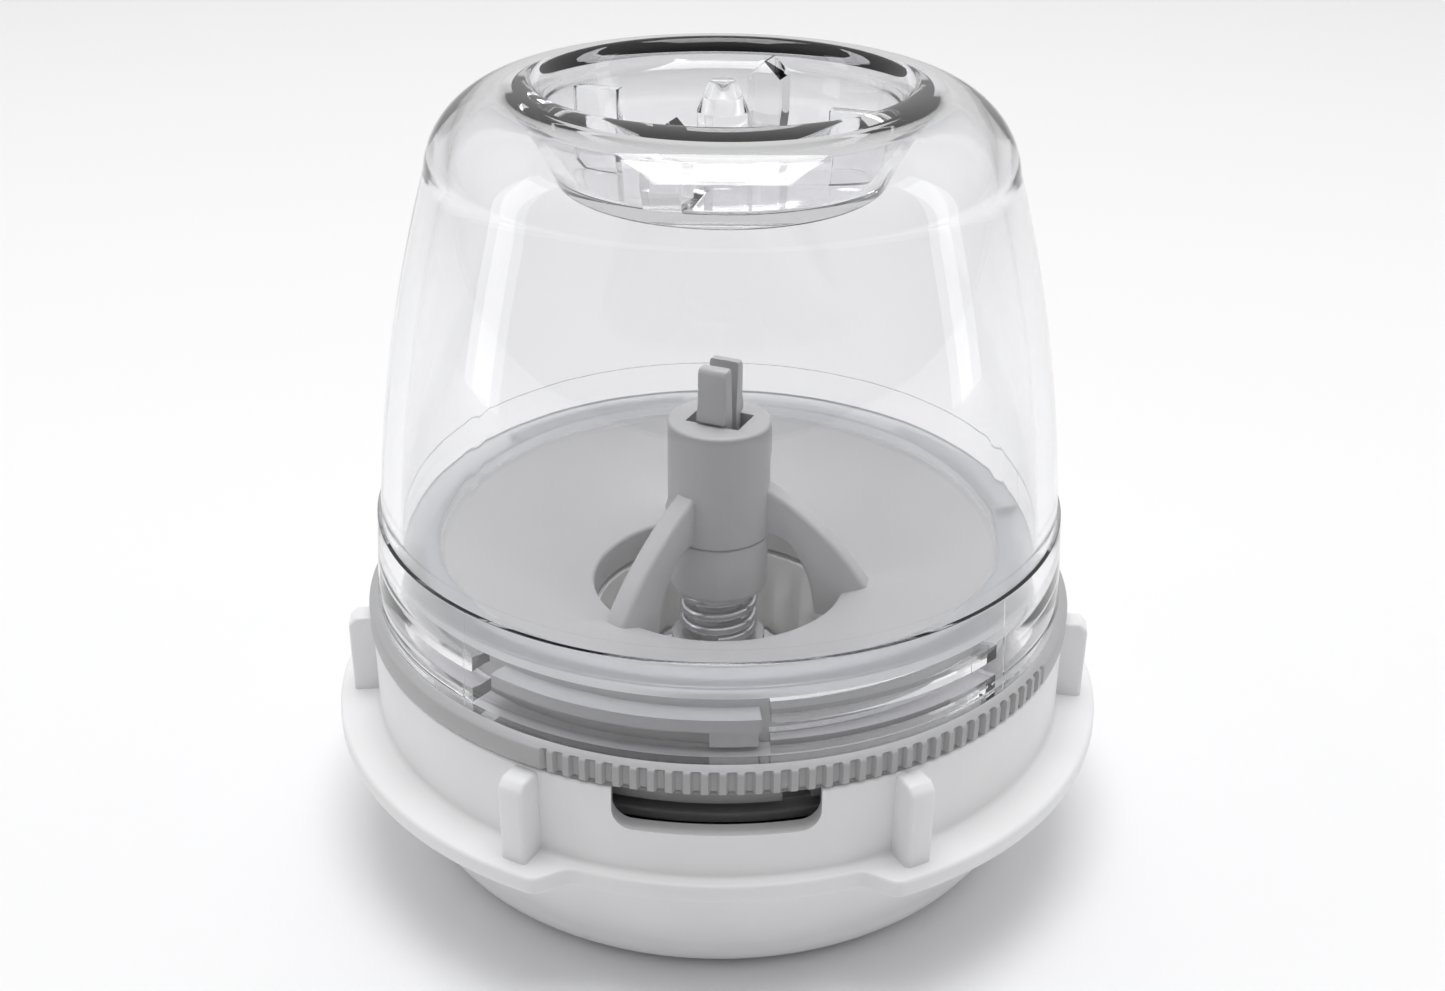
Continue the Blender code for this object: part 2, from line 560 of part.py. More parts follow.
def make_spring_holder():
    """Cup for the spring, a neck through the hub's slot, and two snap prongs with barbs."""
    bore = JOURNAL_RADIUS + GAP
    bore_top = JOURNAL_TOP + ROTOR_TRAVEL + 0.6 * MM
    cup_top = HUB_LOW - GAP
    chamfer = 0.8 * MM
    cup = [(0.0, cup_top), (HOLDER_RADIUS, cup_top), (HOLDER_RADIUS, HOLDER_FOOT + chamfer),
           (HOLDER_RADIUS - 0.5 * chamfer, HOLDER_FOOT), (HOLDER_RADIUS - HOLDER_WALL, HOLDER_FOOT),
           (HOLDER_RADIUS - HOLDER_WALL, HOLDER_ROOF), (0.0, HOLDER_ROOF)]
    holder = turned("spring_holder", cup, grey_plastic(), SMALL_STEPS)
    neck_width = SLOT_WIDTH - 2.0 * GAP

    def neck(mesh_data):
        barb_width = neck_width + 2.0 * PRONG_BARB
        rings = [box_ring(PRONG_WIDTH, neck_width, SLOT_ANGLE, cup_top - 1.0 * MM),
                 box_ring(PRONG_WIDTH, neck_width, SLOT_ANGLE, HUB_HIGH + GAP),
                 box_ring(PRONG_WIDTH, barb_width, SLOT_ANGLE, HUB_HIGH + GAP),
                 box_ring(PRONG_WIDTH, barb_width, SLOT_ANGLE, HUB_HIGH + GAP + 1.4 * MM),
                 box_ring(PRONG_WIDTH - 0.2 * MM, neck_width + 0.6 * MM, SLOT_ANGLE,
                          HUB_HIGH + GAP + 2.6 * MM),
                 box_ring(PRONG_WIDTH - 0.7 * MM, neck_width, SLOT_ANGLE, PRONG_TOP - 0.9 * MM),
                 box_ring(PRONG_WIDTH - 1.6 * MM, neck_width - 1.0 * MM, SLOT_ANGLE, PRONG_TOP)]
        add_loft(mesh_data, rings)

    combine(holder, helper_solid("neck_tool", neck), "UNION")

    def slit(mesh_data):
        add_loft(mesh_data, [box_ring(2.0 * SLOT_LENGTH, PRONG_SLIT, SLOT_ANGLE, height)
                             for height in (bore_top + 1.6 * MM, PRONG_TOP + 3.0 * MM)])

    combine(holder, helper_solid("slit_tool", slit), "DIFFERENCE")
    bore_foot = HOLDER_ROOF - 2.0 * MM
    journal_bore = [(0.0, bore_foot), (bore, bore_foot), (bore, bore_top), (0.0, bore_top)]
    combine(holder, turned("journal_bore_tool", journal_bore, None, 16, helper=True), "DIFFERENCE")


def make_spring():
    """A helix with a closed coil at each end, as a capped tube."""
    top = HOLDER_ROOF - GAP - SPRING_WIRE
    bottom = WASHER_TOP + GAP + SPRING_WIRE
    closed = 2.15 * SPRING_WIRE
    steps_per_turn = 12
    total = SPRING_TURNS * steps_per_turn
    sides = 6
    rings = []
    for i in range(total + 1):
        turns = i / steps_per_turn
        ends = min(turns, 1.0) + max(turns - (SPRING_TURNS - 1.0), 0.0)
        middle = min(max(turns - 1.0, 0.0), SPRING_TURNS - 2.0)
        pitch = (top - bottom - 2.0 * closed) / (SPRING_TURNS - 2.0)
        height = bottom + closed * ends + pitch * middle
        angle = 360.0 * turns
        ring = []
        for k in range(sides):
            turn = 2.0 * math.pi * k / sides
            ring.append(polar(SPRING_RADIUS + SPRING_WIRE * math.cos(turn), angle,
                              height + SPRING_WIRE * math.sin(turn)))
        rings.append(ring)
    mesh_data = bmesh.new()
    add_loft(mesh_data, rings)
    link("spring", mesh_data, steel())


# ---------------------------------------------------------------- grip ring
def knurl_radii():
    """Angle and radius pairs round the ring: teeth in the knurled fields, plain between them."""
    field_turn = 360.0 / KNURL_FIELDS
    teeth = round(KNURL_SWEEP / KNURL_PITCH)
    tooth = ((0.0, 1.0), (0.16, 0.0), (0.52, 0.0), (0.68, 1.0))
    pairs = []
    for field in range(KNURL_FIELDS):
        start = KNURL_START + field_turn * field
        for number in range(teeth):
            for share, depth in tooth:
                pairs.append((start + KNURL_PITCH * (number + share), RING_RADIUS - KNURL_DEPTH * depth))
        plain_start = start + KNURL_PITCH * teeth
        plain = field_turn - KNURL_PITCH * teeth
        steps = round(plain / 7.5)
        pairs.append((plain_start, RING_RADIUS - KNURL_DEPTH))
        pairs += [(plain_start + 0.6 + (plain - 1.2) * i / steps, RING_RADIUS) for i in range(steps + 1)]
    return pairs


def make_grip_ring():
    """A turned ring with a skirt and a cam groove inside it, and a knurled band round its rim."""
    inside = RING_INSIDE_RADIUS
    core = RING_RADIUS - 2.0 * MM
    groove_low = CAM_MIDDLE - 0.5 * CAM_GROOVE_HEIGHT
    groove_high = CAM_MIDDLE + 0.5 * CAM_GROOVE_HEIGHT
    deep = inside + CAM_GROOVE_DEPTH
    outline = [(core, 0.0), (core, -RING_HEIGHT), (RING_SKIRT_RADIUS, -RING_HEIGHT),
               (RING_SKIRT_RADIUS, RING_SKIRT_FOOT), (inside, RING_SKIRT_FOOT), (inside, groove_low),
               (deep, groove_low), (deep, groove_high), (inside, groove_high), (inside, 0.0)]
    ring = turned("grip_ring", outline, grey_plastic())
    pairs = knurl_radii()

    def band(mesh_data):
        heights = (-RING_HEIGHT, 0.0)
        outer = [[polar(radius, angle, height) for angle, radius in pairs] for height in heights]
        inner = [[polar(core - 1.0 * MM, angle, height) for angle, _ in pairs] for height in heights]
        add_tube(mesh_data, outer, inner)

    combine(ring, helper_solid("knurl_tool", band), "UNION")

    def notch(mesh_data):
        add_arc_block(mesh_data, inside - 2.0 * MM, RING_SKIRT_RADIUS + 2.0 * MM,
                      SKIRT_NOTCH_ANGLE - 0.5 * SKIRT_NOTCH_SWEEP, SKIRT_NOTCH_SWEEP,
                      RING_SKIRT_FOOT - 2.0 * MM, -RING_HEIGHT - 1.0 * MM)

    combine(ring, helper_solid("ring_notch_tool", notch), "DIFFERENCE")


# ---------------------------------------------------------------- collar and bowl
def flange_radius(angle):
    """Lobed outline: the full radius, drawn in over a waist with a smooth S at each end."""
    radius = FLANGE_RADIUS
    for waist in FLANGE_WAISTS:
        away = abs((angle - waist + 180.0) % 360.0 - 180.0)
        share = min(max((away - FLANGE_WAIST_HALF) / FLANGE_BLEND, 0.0), 1.0)
        blend = share * share * (3.0 - 2.0 * share)
        radius = min(radius, FLANGE_WAIST_RADIUS + (FLANGE_RADIUS - FLANGE_WAIST_RADIUS) * blend)
    return radius


def flange_angles():
    angles = set()
    for waist in FLANGE_WAISTS:
        for side in (-1.0, 1.0):
            for i in range(7):
                angles.add(waist + side * (FLANGE_WAIST_HALF + FLANGE_BLEND * i / 6.0))
        for i in range(-4, 5):
            angles.add(waist + (FLANGE_WAIST_HALF - 3.0) * i / 4.0)
    lobe = 180.0 - 2.0 * (FLANGE_WAIST_HALF + FLANGE_BLEND)
    for waist in FLANGE_WAISTS:
        start = waist + FLANGE_WAIST_HALF + FLANGE_BLEND
        steps = 18
        for i in range(1, steps):
            angles.add(start + lobe * i / steps)
    return sorted(angles)


def make_drive_collar():
    wall_inside = COLLAR_RADIUS - COLLAR_WALL
    top = -RING_HEIGHT - GAP
    flange_top = COLLAR_FOOT + FLANGE_THICKNESS
    edge = 0.6 * MM
    angles = flange_angles()

    def row(height, shrink):
        return [polar(flange_radius(angle) - shrink, angle, height) for angle in angles]

    def round_row(height, radius):
        return [polar(radius, angle, height) for angle in angles]

    mesh_data = bmesh.new()
    outer = [row(COLLAR_FOOT, edge), row(COLLAR_FOOT + edge, 0.0),
             row(flange_top - edge, 0.0), row(flange_top, edge),
             round_row(flange_top, COLLAR_RADIUS), round_row(top, COLLAR_RADIUS)]
    inner = [round_row(height, wall_inside) for height in
             (COLLAR_FOOT, COLLAR_FOOT + edge, flange_top - edge, flange_top, flange_top + edge, top)]
    add_tube(mesh_data, outer, inner)
    collar = link("drive_collar", mesh_data, white_plastic())

    def posts(mesh_data):
        root = COLLAR_RADIUS - 0.5 * COLLAR_WALL
        tip = COLLAR_RADIUS + POST_REACH
        sunk = flange_top - 1.0 * MM
        outline = [(root, sunk), (tip, sunk), (tip, POST_TOP - POST_CHAMFER),
                   (tip - POST_CHAMFER, POST_TOP), (root, POST_TOP)]
        for angle in POST_ANGLES:
            add_radial_plate(mesh_data, outline, POST_THICKNESS, angle)

    combine(collar, helper_solid("posts_tool", posts), "UNION")

    def tabs(mesh_data):
        """Ledges inside the wall that the grinder body's foot flange stands on."""
        ledge_top = SKIRT_FOOT - GAP
        for number in range(TAB_COUNT):
            start = 120.0 * number + 60.0 - 0.5 * TAB_SWEEP
            add_arc_block(mesh_data, wall_inside - TAB_REACH, wall_inside + 0.8 * MM, start, TAB_SWEEP,
                          ledge_top - TAB_THICKNESS, ledge_top)

    combine(collar, helper_solid("tabs_tool", tabs), "UNION")

    def window(mesh_data):
        """A notch in the top of the wall with rounded lower corners."""
        half = COLLAR_RADIUS * math.sin(math.radians(WINDOW_HALF))
        corner = (half, WINDOW_FOOT)
        rounded = ellipse_corner((half, WINDOW_FOOT + WINDOW_CORNER), corner,
                                 (half - WINDOW_CORNER, WINDOW_FOOT), 4)
        right = [(half, top + 2.0 * MM), (half, WINDOW_FOOT + WINDOW_CORNER)] + rounded
        right.append((half - WINDOW_CORNER, WINDOW_FOOT))
        outline = right + [(-x, z) for x, z in reversed(right)]
        reach = (-COLLAR_RADIUS - 9.0 * MM, -COLLAR_RADIUS + 11.0 * MM)
        add_loft(mesh_data, [[(x, y, z) for x, z in outline] for y in reach])

    combine(collar, helper_solid("window_tool", window), "DIFFERENCE")


def bowl_outline():
    """A rounded shell with a foot ring, a raised underside, a drive pocket and a bearing tower."""
    rim = COLLAR_FOOT - GAP
    table = -SEAT_HEIGHT
    edge_centre = BOWL_SIDE_RADIUS - BOWL_EDGE
    side = arc((edge_centre + BOWL_EDGE, table + BOWL_EDGE), (BOWL_RIM_RADIUS, rim), 0.5 * MM, 3)
    rounded = ellipse_corner((edge_centre + BOWL_EDGE, table + BOWL_EDGE), (edge_centre + BOWL_EDGE, table),
                             (edge_centre, table), 4)
    foot_inside = edge_centre - BOWL_FOOT_RING
    under = table + BOWL_RECESS
    bore = SHAFT_RADIUS + 3.0 * GAP + 1.2 * MM
    spigot_out = COLLAR_RADIUS - COLLAR_WALL - GAP
    spigot_in = spigot_out - BOWL_SPIGOT_WALL
    floor = under + BOWL_WALL
    inner_edge = BOWL_EDGE - 1.0 * MM
    inner_side = BOWL_SIDE_RADIUS - BOWL_WALL
    inner_round = ellipse_corner((inner_side - inner_edge, floor), (inner_side, floor),
                                 (inner_side, floor + inner_edge), 3)
    outside = list(reversed(side)) + rounded
    below = [(edge_centre, table), (foot_inside, table), (foot_inside - 0.6 * MM, under),
             (POCKET_RADIUS, under), (POCKET_RADIUS, POCKET_ROOF), (bore, POCKET_ROOF), (bore, TOWER_TOP)]
    tower = [(TOWER_RADIUS, TOWER_TOP), (TOWER_RADIUS, POCKET_ROOF + 1.6 * MM),
             (POCKET_RADIUS + 1.8 * MM, POCKET_ROOF + 1.6 * MM), (POCKET_RADIUS + 1.8 * MM, floor)]
    inside = tower + [(inner_side - inner_edge, floor)] + inner_round + [(inner_side, floor + inner_edge)]
    spigot_top = rim + BOWL_SPIGOT_HEIGHT
    spigot = [(spigot_in, rim - 1.0 * MM), (spigot_in, spigot_top), (spigot_out, spigot_top),
              (spigot_out, rim)]
    return outside + below + inside + spigot


def make_base_bowl():
    turned("base_bowl", bowl_outline(), white_plastic())


def make_collar_seal():
    outside = COLLAR_RADIUS - COLLAR_WALL - GAP
    low = COLLAR_FOOT + BOWL_SPIGOT_HEIGHT
    high = low + 0.9 * MM
    outline = [(outside, high), (outside, low), (outside - 1.8 * MM, low), (outside - 1.8 * MM, high)]
    turned("collar_seal", outline, black_rubber(), INNER_STEPS)


def make_collar_liner():
    """Dark cup wall that stands inside the bowl and backs the collar's window."""
    outside = COLLAR_RADIUS - COLLAR_WALL - BOWL_SPIGOT_WALL - 2.5 * MM - GAP
    floor = -SEAT_HEIGHT + BOWL_RECESS + BOWL_WALL + 3.6 * MM
    foot_reach = 20.0 * MM
    top = SKIRT_FOOT - TAB_THICKNESS - 2.0 * GAP
    wall = 1.2 * MM
    outline = [(outside, top), (outside, floor), (outside - foot_reach, floor),
               (outside - foot_reach, floor + wall), (outside - wall, floor + wall), (outside - wall, top)]
    turned("collar_liner", outline, black_rubber(), INNER_STEPS)


# ---------------------------------------------------------------- rotor
def make_drive_shaft():
    """Journal on top, shoulder under the burr, and a threaded hole in the lower end."""
    clip_high = WASHER_TOP - WASHER_THICKNESS - GAP
    clip_low = clip_high - CLIP_THICKNESS
    groove = SHAFT_RADIUS - 0.5 * MM
    end = COUPLING_FOOT + 2.6 * MM
    hole = COUPLING_SCREW_RADIUS + GAP
    outline = [(0.0, JOURNAL_TOP), (JOURNAL_RADIUS, JOURNAL_TOP), (JOURNAL_RADIUS, HOLDER_ROOF - 1.6 * MM),
               (SHAFT_RADIUS, HOLDER_ROOF - 1.6 * MM), (SHAFT_RADIUS, clip_high + 0.1 * MM),
               (groove, clip_high + 0.1 * MM), (groove, clip_low - 0.1 * MM),
               (SHAFT_RADIUS, clip_low - 0.1 * MM),
               (SHAFT_RADIUS, BURR_FOOT - GAP), (SHAFT_COLLAR_RADIUS, BURR_FOOT - GAP),
               (SHAFT_COLLAR_RADIUS, BURR_FOOT - GAP - 1.6 * MM), (SHAFT_RADIUS, BURR_FOOT - GAP - 1.6 * MM),
               (SHAFT_RADIUS, end), (hole, end), (hole, end + 7.0 * MM), (0.0, end + 7.0 * MM)]
    turned("drive_shaft", outline, steel(), SMALL_STEPS)


def make_thrust_washer():
    bore = SHAFT_RADIUS + GAP
    low = WASHER_TOP - WASHER_THICKNESS
    outline = [(WASHER_RADIUS, WASHER_TOP), (WASHER_RADIUS, low), (bore, low), (bore, WASHER_TOP)]
    turned("thrust_washer", outline, steel(), SMALL_STEPS)


def make_burr_clip():
    """A C-shaped clip in the shaft's groove, over the burr."""
    high = WASHER_TOP - WASHER_THICKNESS - GAP
    mesh_data = bmesh.new()
    add_arc_block(mesh_data, SHAFT_RADIUS - 0.5 * MM + 0.2 * MM, SHAFT_RADIUS + 2.0 * MM, 30.0, 300.0,
                  high - CLIP_THICKNESS, high)
    link("burr_clip", mesh_data, steel())


def toothed_ring(count, tip, root, height, turn):
    """A ring of points that steps between tip and root radius, count times round."""
    ring = []
    for number in range(count):
        for share, radius in ((0.0, tip), (0.35, tip), (0.5, root), (0.85, root)):
            ring.append(polar(radius, turn + 360.0 * (number + share) / count, height))
    return ring


def make_inner_burr():
    """A cone with slanting flutes, on the shaft."""
    top = WASHER_TOP - WASHER_THICKNESS - 2.0 * GAP - CLIP_THICKNESS
    levels = 4
    bore = SHAFT_RADIUS + GAP
    outer = []
    inner = []
    for i in range(levels + 1):
        share = i / levels
        height = BURR_FOOT + (top - BURR_FOOT) * share
        tip = INNER_BURR_FOOT_RADIUS + (INNER_BURR_TOP_RADIUS - INNER_BURR_FOOT_RADIUS) * share
        turn = INNER_BURR_TWIST * share
        outer.append(toothed_ring(INNER_BURR_FLUTES, tip, tip - INNER_BURR_FLUTE_DEPTH, height, turn))
        inner.append(toothed_ring(INNER_BURR_FLUTES, bore, bore, height, turn))
    mesh_data = bmesh.new()
    add_tube(mesh_data, outer, inner)
    link("inner_burr", mesh_data, ceramic())


def make_outer_burr():
    """A smooth throat above, and teeth round its lower inside."""
    high = THROAT_FOOT - CARRIER_TRAVEL - GAP
    throat = HOLE_RADIUS - 0.4 * MM
    neck = -12.5 * MM
    tooth_root = INNER_BURR_FOOT_RADIUS + 2.0 * MM
    tooth_tip = tooth_root - OUTER_BURR_TOOTH_DEPTH
    rows = ((BURR_FOOT, tooth_tip, tooth_root),
            (neck, tooth_tip, tooth_root),
            (neck + 1.0 * MM, throat - 1.0 * MM, throat - 1.0 * MM),
            (high, throat, throat))
    inner = [toothed_ring(OUTER_BURR_TEETH, tip, root, height, 0.0) for height, tip, root in rows]
    outer = [toothed_ring(OUTER_BURR_TEETH, OUTER_BURR_RADIUS, OUTER_BURR_RADIUS, height, 0.0)
             for height, _, _ in rows]
    mesh_data = bmesh.new()
    add_tube(mesh_data, outer, inner)
    link("outer_burr", mesh_data, ceramic())


def make_burr_carrier():
    """A tube round the outer burr on a disc whose rim holds the adjuster pins."""
    tube_in = OUTER_BURR_RADIUS + GAP
    rim_out = PLATE_RADIUS - SKIRT_WALL - GAP
    rim_in = rim_out - 2.4 * MM
    disc_low = CARRIER_DISC_TOP - CARRIER_DISC
    outline = [(rim_out, CARRIER_RIM_TOP), (rim_out, disc_low), (SCREW_CIRCLE_RADIUS + 3.2 * MM, disc_low),
               (SCREW_CIRCLE_RADIUS + 3.2 * MM, BURR_FOOT), (tube_in, BURR_FOOT), (tube_in, CARRIER_DISC_TOP),
               (rim_in, CARRIER_DISC_TOP), (rim_in, CARRIER_RIM_TOP)]
    carrier = turned("burr_carrier", outline, grey_plastic(), INNER_STEPS)

    def pin_holes(mesh_data):
        for number in range(TAB_COUNT):
            add_radial_rod(mesh_data, CAM_PIN_RADIUS + GAP, rim_in - 2.0 * MM, rim_out + 2.0 * MM,
                           pin_angle(number), CAM_MIDDLE)

    def screw_holes(mesh_data):
        for number in range(TAB_COUNT):
            add_loft(mesh_data, [round_ring(SCREW_RADIUS + GAP, screw_place(number), height)
                                 for height in (BURR_FOOT - 2.0 * MM, BURR_FOOT + SCREW_LENGTH)])

    combine(carrier, helper_solid("carrier_pin_holes_tool", pin_holes), "DIFFERENCE")
    combine(carrier, helper_solid("carrier_screw_holes_tool", screw_holes), "DIFFERENCE")


def add_radial_rod(mesh_data, radius, start, end, angle, height, sides=12):
    """A round rod that points away from the axis at an angle and a height."""
    rings = []
    for reach in (start, end):
        base = polar(reach, angle, height)
        ring = []
        for k in range(sides):
            turn = 2.0 * math.pi * k / sides
            side = polar(radius * math.cos(turn), angle + 90.0, 0.0)
            ring.append((base[0] + side[0], base[1] + side[1], height + radius * math.sin(turn)))
        rings.append(ring)
    add_loft(mesh_data, rings)


def round_ring(radius, place, height, sides=12):
    return [(place[0] + radius * math.cos(2.0 * math.pi * k / sides),
             place[1] + radius * math.sin(2.0 * math.pi * k / sides), height) for k in range(sides)]


def screw_place(number):
    return polar(SCREW_CIRCLE_RADIUS, 360.0 / TAB_COUNT * number, 0.0)


def make_burr_clamp():
    """A flat ring that holds the outer burr in the carrier."""
    high = BURR_FOOT - GAP
    low = high - CLAMP_THICKNESS
    inside = INNER_BURR_FOOT_RADIUS + 2.0 * MM
    outside = SCREW_CIRCLE_RADIUS + 3.2 * MM
    clamp = turned("burr_clamp", [(outside, high), (outside, low), (inside, low), (inside, high)], steel(),
                   INNER_STEPS)

    def holes(mesh_data):
        """Stepped cutters: the head's sink below, the screw's hole above."""
        for number in range(TAB_COUNT):
            place = screw_place(number)
            rings = [round_ring(SCREW_HEAD_RADIUS + GAP, place, low - 1.0 * MM),
                     round_ring(SCREW_HEAD_RADIUS + GAP, place, low + 1.0 * MM),
                     round_ring(SCREW_RADIUS + GAP, place, low + 1.0 * MM),
                     round_ring(SCREW_RADIUS + GAP, place, high + 1.0 * MM)]
            add_loft(mesh_data, rings)

    combine(clamp, helper_solid("clamp_holes_tool", holes), "DIFFERENCE")


def make_clamp_screws():
    """Screws with flat heads sunk in the clamp ring; the heads face down."""
    head_low = BURR_FOOT - GAP - CLAMP_THICKNESS + 0.1 * MM
    head_high = head_low + 0.6 * MM
    outline = [(0.0, head_low), (SCREW_HEAD_RADIUS, head_low), (SCREW_HEAD_RADIUS, head_high),
               (SCREW_RADIUS, head_high), (SCREW_RADIUS, BURR_FOOT + SCREW_LENGTH - 0.8 * MM),
               (0.0, BURR_FOOT + SCREW_LENGTH - 0.8 * MM)]
    for number in range(TAB_COUNT):
        screw = turned("clamp_screw_%d" % (number + 1), outline, steel(), 14)
        place = screw_place(number)
        screw.location = (place[0], place[1], SEAT_HEIGHT)


def make_adjuster_pins():
    """Pins from the carrier's rim through the skirt's slots into the grip ring's cam groove."""
    start = PLATE_RADIUS - SKIRT_WALL - GAP - 2.4 * MM
    end = RING_INSIDE_RADIUS + CAM_GROOVE_DEPTH - 2.0 * GAP
    for number in range(TAB_COUNT):
        mesh_data = bmesh.new()
        add_radial_rod(mesh_data, CAM_PIN_RADIUS, start, end, pin_angle(number), CAM_MIDDLE)
        link("adjuster_pin_%d" % (number + 1), mesh_data, steel())


def make_lower_bush():
    bore = SHAFT_RADIUS + GAP
    outside = SHAFT_RADIUS + 2.0 * GAP + 1.2 * MM
    outline = [(outside, TOWER_TOP), (outside, POCKET_ROOF), (bore, POCKET_ROOF), (bore, TOWER_TOP)]
    turned("lower_bush", outline, bronze(), SMALL_STEPS)


def make_shaft_seal():
    """A rubber ring with a lip, on top of the tower."""
    bore = SHAFT_RADIUS + GAP
    low = TOWER_TOP + GAP
    outline = [(TOWER_RADIUS - 0.4 * MM, low + 0.8 * MM), (TOWER_RADIUS - 0.4 * MM, low), (bore, low),
               (bore, low + 1.6 * MM), (bore + 1.0 * MM, low + 1.6 * MM), (bore + 1.6 * MM, low + 0.8 * MM)]
    turned("shaft_seal", outline, black_rubber(), SMALL_STEPS)


def make_drive_coupling():
    """A disc with six dogs on its underside, bored for the shaft and for its screw's head."""
    bore = SHAFT_RADIUS + GAP
    disc_low = COUPLING_TOP - 2.6 * MM
    shaft_end = COUPLING_FOOT + 2.6 * MM
    shelf = shaft_end - GAP
    screw_bore = COUPLING_SCREW_RADIUS + GAP
    head_bore = COUPLING_SCREW_HEAD_RADIUS + GAP
    hub = head_bore + 1.4 * MM
    outline = [(COUPLING_RADIUS, COUPLING_TOP), (COUPLING_RADIUS, disc_low), (hub, disc_low),
               (hub, COUPLING_FOOT),
               (head_bore, COUPLING_FOOT), (head_bore, shelf - 0.9 * MM), (screw_bore, shelf - 0.9 * MM),
               (screw_bore, shelf), (bore, shelf), (bore, COUPLING_TOP)]
    coupling = turned("drive_coupling", outline, black_rubber(), 36)

    def dogs(mesh_data):
        for number in range(COUPLING_DOGS):
            add_arc_block(mesh_data, hub - 0.5 * MM, COUPLING_RADIUS - 0.4 * MM, 60.0 * number, 26.0,
                          COUPLING_FOOT + 0.5 * MM, disc_low + 1.0 * MM)

    combine(coupling, helper_solid("dogs_tool", dogs), "UNION")


def make_coupling_screw():
    shaft_end = COUPLING_FOOT + 2.6 * MM
    head_high = shaft_end - 2.0 * GAP - 0.9 * MM
    outline = [(0.0, COUPLING_FOOT + 0.1 * MM),
               (COUPLING_SCREW_HEAD_RADIUS - 0.4 * MM, COUPLING_FOOT + 0.1 * MM),
               (COUPLING_SCREW_HEAD_RADIUS, head_high), (COUPLING_SCREW_RADIUS, head_high),
               (COUPLING_SCREW_RADIUS, shaft_end + 6.0 * MM), (0.0, shaft_end + 6.0 * MM)]
    turned("coupling_screw", outline, steel(), 20)


# ---------------------------------------------------------------- build
def clear_scene():
    for old in list(bpy.data.objects):
        bpy.data.objects.remove(old, do_unlink=True)


def main():
    clear_scene()
    for make in (make_hopper_jar, make_jar_gasket, make_grinder_body, make_spring_holder, make_spring,
                 make_thrust_washer, make_drive_shaft, make_burr_clip, make_inner_burr, make_outer_burr,
                 make_burr_carrier, make_burr_clamp, make_clamp_screws, make_adjuster_pins, make_grip_ring,
                 make_drive_collar, make_collar_seal, make_collar_liner, make_base_bowl, make_lower_bush,
                 make_shaft_seal, make_drive_coupling, make_coupling_screw):
        make()


main()
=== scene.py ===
# %% [markdown]
# # A grinding-mill attachment
# The real object is a set of moulded parts that share one upright axis: a clear hopper jar, a grey
# grinder head, a knurled setting ring, a white collar with posts and a rounded base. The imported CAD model
# says where everything is. This file gives each visible part its fine surface and its finish.

import bmesh
import bpy
import numpy as np
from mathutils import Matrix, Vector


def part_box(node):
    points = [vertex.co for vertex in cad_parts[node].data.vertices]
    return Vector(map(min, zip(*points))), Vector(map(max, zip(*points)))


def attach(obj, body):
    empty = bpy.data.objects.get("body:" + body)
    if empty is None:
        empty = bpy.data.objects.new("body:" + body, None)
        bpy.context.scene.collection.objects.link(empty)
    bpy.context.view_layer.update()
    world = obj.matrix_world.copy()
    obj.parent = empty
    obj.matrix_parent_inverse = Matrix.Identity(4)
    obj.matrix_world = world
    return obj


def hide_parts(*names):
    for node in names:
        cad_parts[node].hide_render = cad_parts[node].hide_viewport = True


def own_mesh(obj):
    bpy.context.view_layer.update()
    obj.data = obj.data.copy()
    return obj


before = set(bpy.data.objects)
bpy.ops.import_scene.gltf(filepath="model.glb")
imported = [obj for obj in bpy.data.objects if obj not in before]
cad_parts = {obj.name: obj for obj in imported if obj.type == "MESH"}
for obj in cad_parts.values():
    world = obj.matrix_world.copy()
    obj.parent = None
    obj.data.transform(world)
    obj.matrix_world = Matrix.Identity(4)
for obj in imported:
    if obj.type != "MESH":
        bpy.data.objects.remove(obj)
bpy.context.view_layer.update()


# %% [markdown]
# Nearly every size is a radius from the axis or a height above one plane, the seat, where the jar's rim
# meets the setting ring. Both can be read from the CAD boxes, so no place has to be guessed. Lengths are
# in millimetres and are turned to metres only when a mesh is made.

# %% Read the main sizes from the CAD boxes
MM = 0.001
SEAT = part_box("grip_ring")[1].z / MM


def reach(node):
    """A turned part's outer radius in millimetres, from its CAD box."""
    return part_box(node)[1].x / MM


def top_of(node):
    """A part's highest point above the seat, in millimetres."""
    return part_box(node)[1].z / MM - SEAT


def foot_of(node):
    """A part's lowest point above the seat, in millimetres."""
    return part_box(node)[0].z / MM - SEAT


JAR_RIM = reach("hopper_jar")
JAR_TOP = top_of("hopper_jar")
COLLAR_FOOT = foot_of("drive_collar")
TABLE = foot_of("base_bowl")
print("seat %.1f, jar rim %.1f, jar top %.1f, collar foot %.1f, table %.1f"
      % (SEAT, JAR_RIM, JAR_TOP, COLLAR_FOOT, TABLE))

# %% [markdown]
# A turned part is a profile carried round an axis. Its surface is a function of two parameters: the place
# along the profile and the turn round the axis. Worked out on a grid, the whole part is a few array
# operations.

# %% Turn a grid of points into a mesh
def surface(name, grid, close_profile):
    """A mesh from a grid of points in millimetres. Rows follow the profile, columns go once round the
    axis, and four neighbours make a face. Rows that meet on the axis are merged into one point."""
    rows, columns, _ = grid.shape
    index = np.arange(rows * columns).reshape(rows, columns)
    index = np.hstack([index, index[:, :1]])
    if close_profile:
        index = np.vstack([index, index[:1]])
    corners = [index[:-1, :-1], index[:-1, 1:], index[1:, 1:], index[1:, :-1]]
    faces = np.stack(corners, axis=-1).reshape(-1, 4)
    points = (grid.reshape(-1, 3) + (0.0, 0.0, SEAT)) * MM
    return object_from(name, points, faces.tolist())


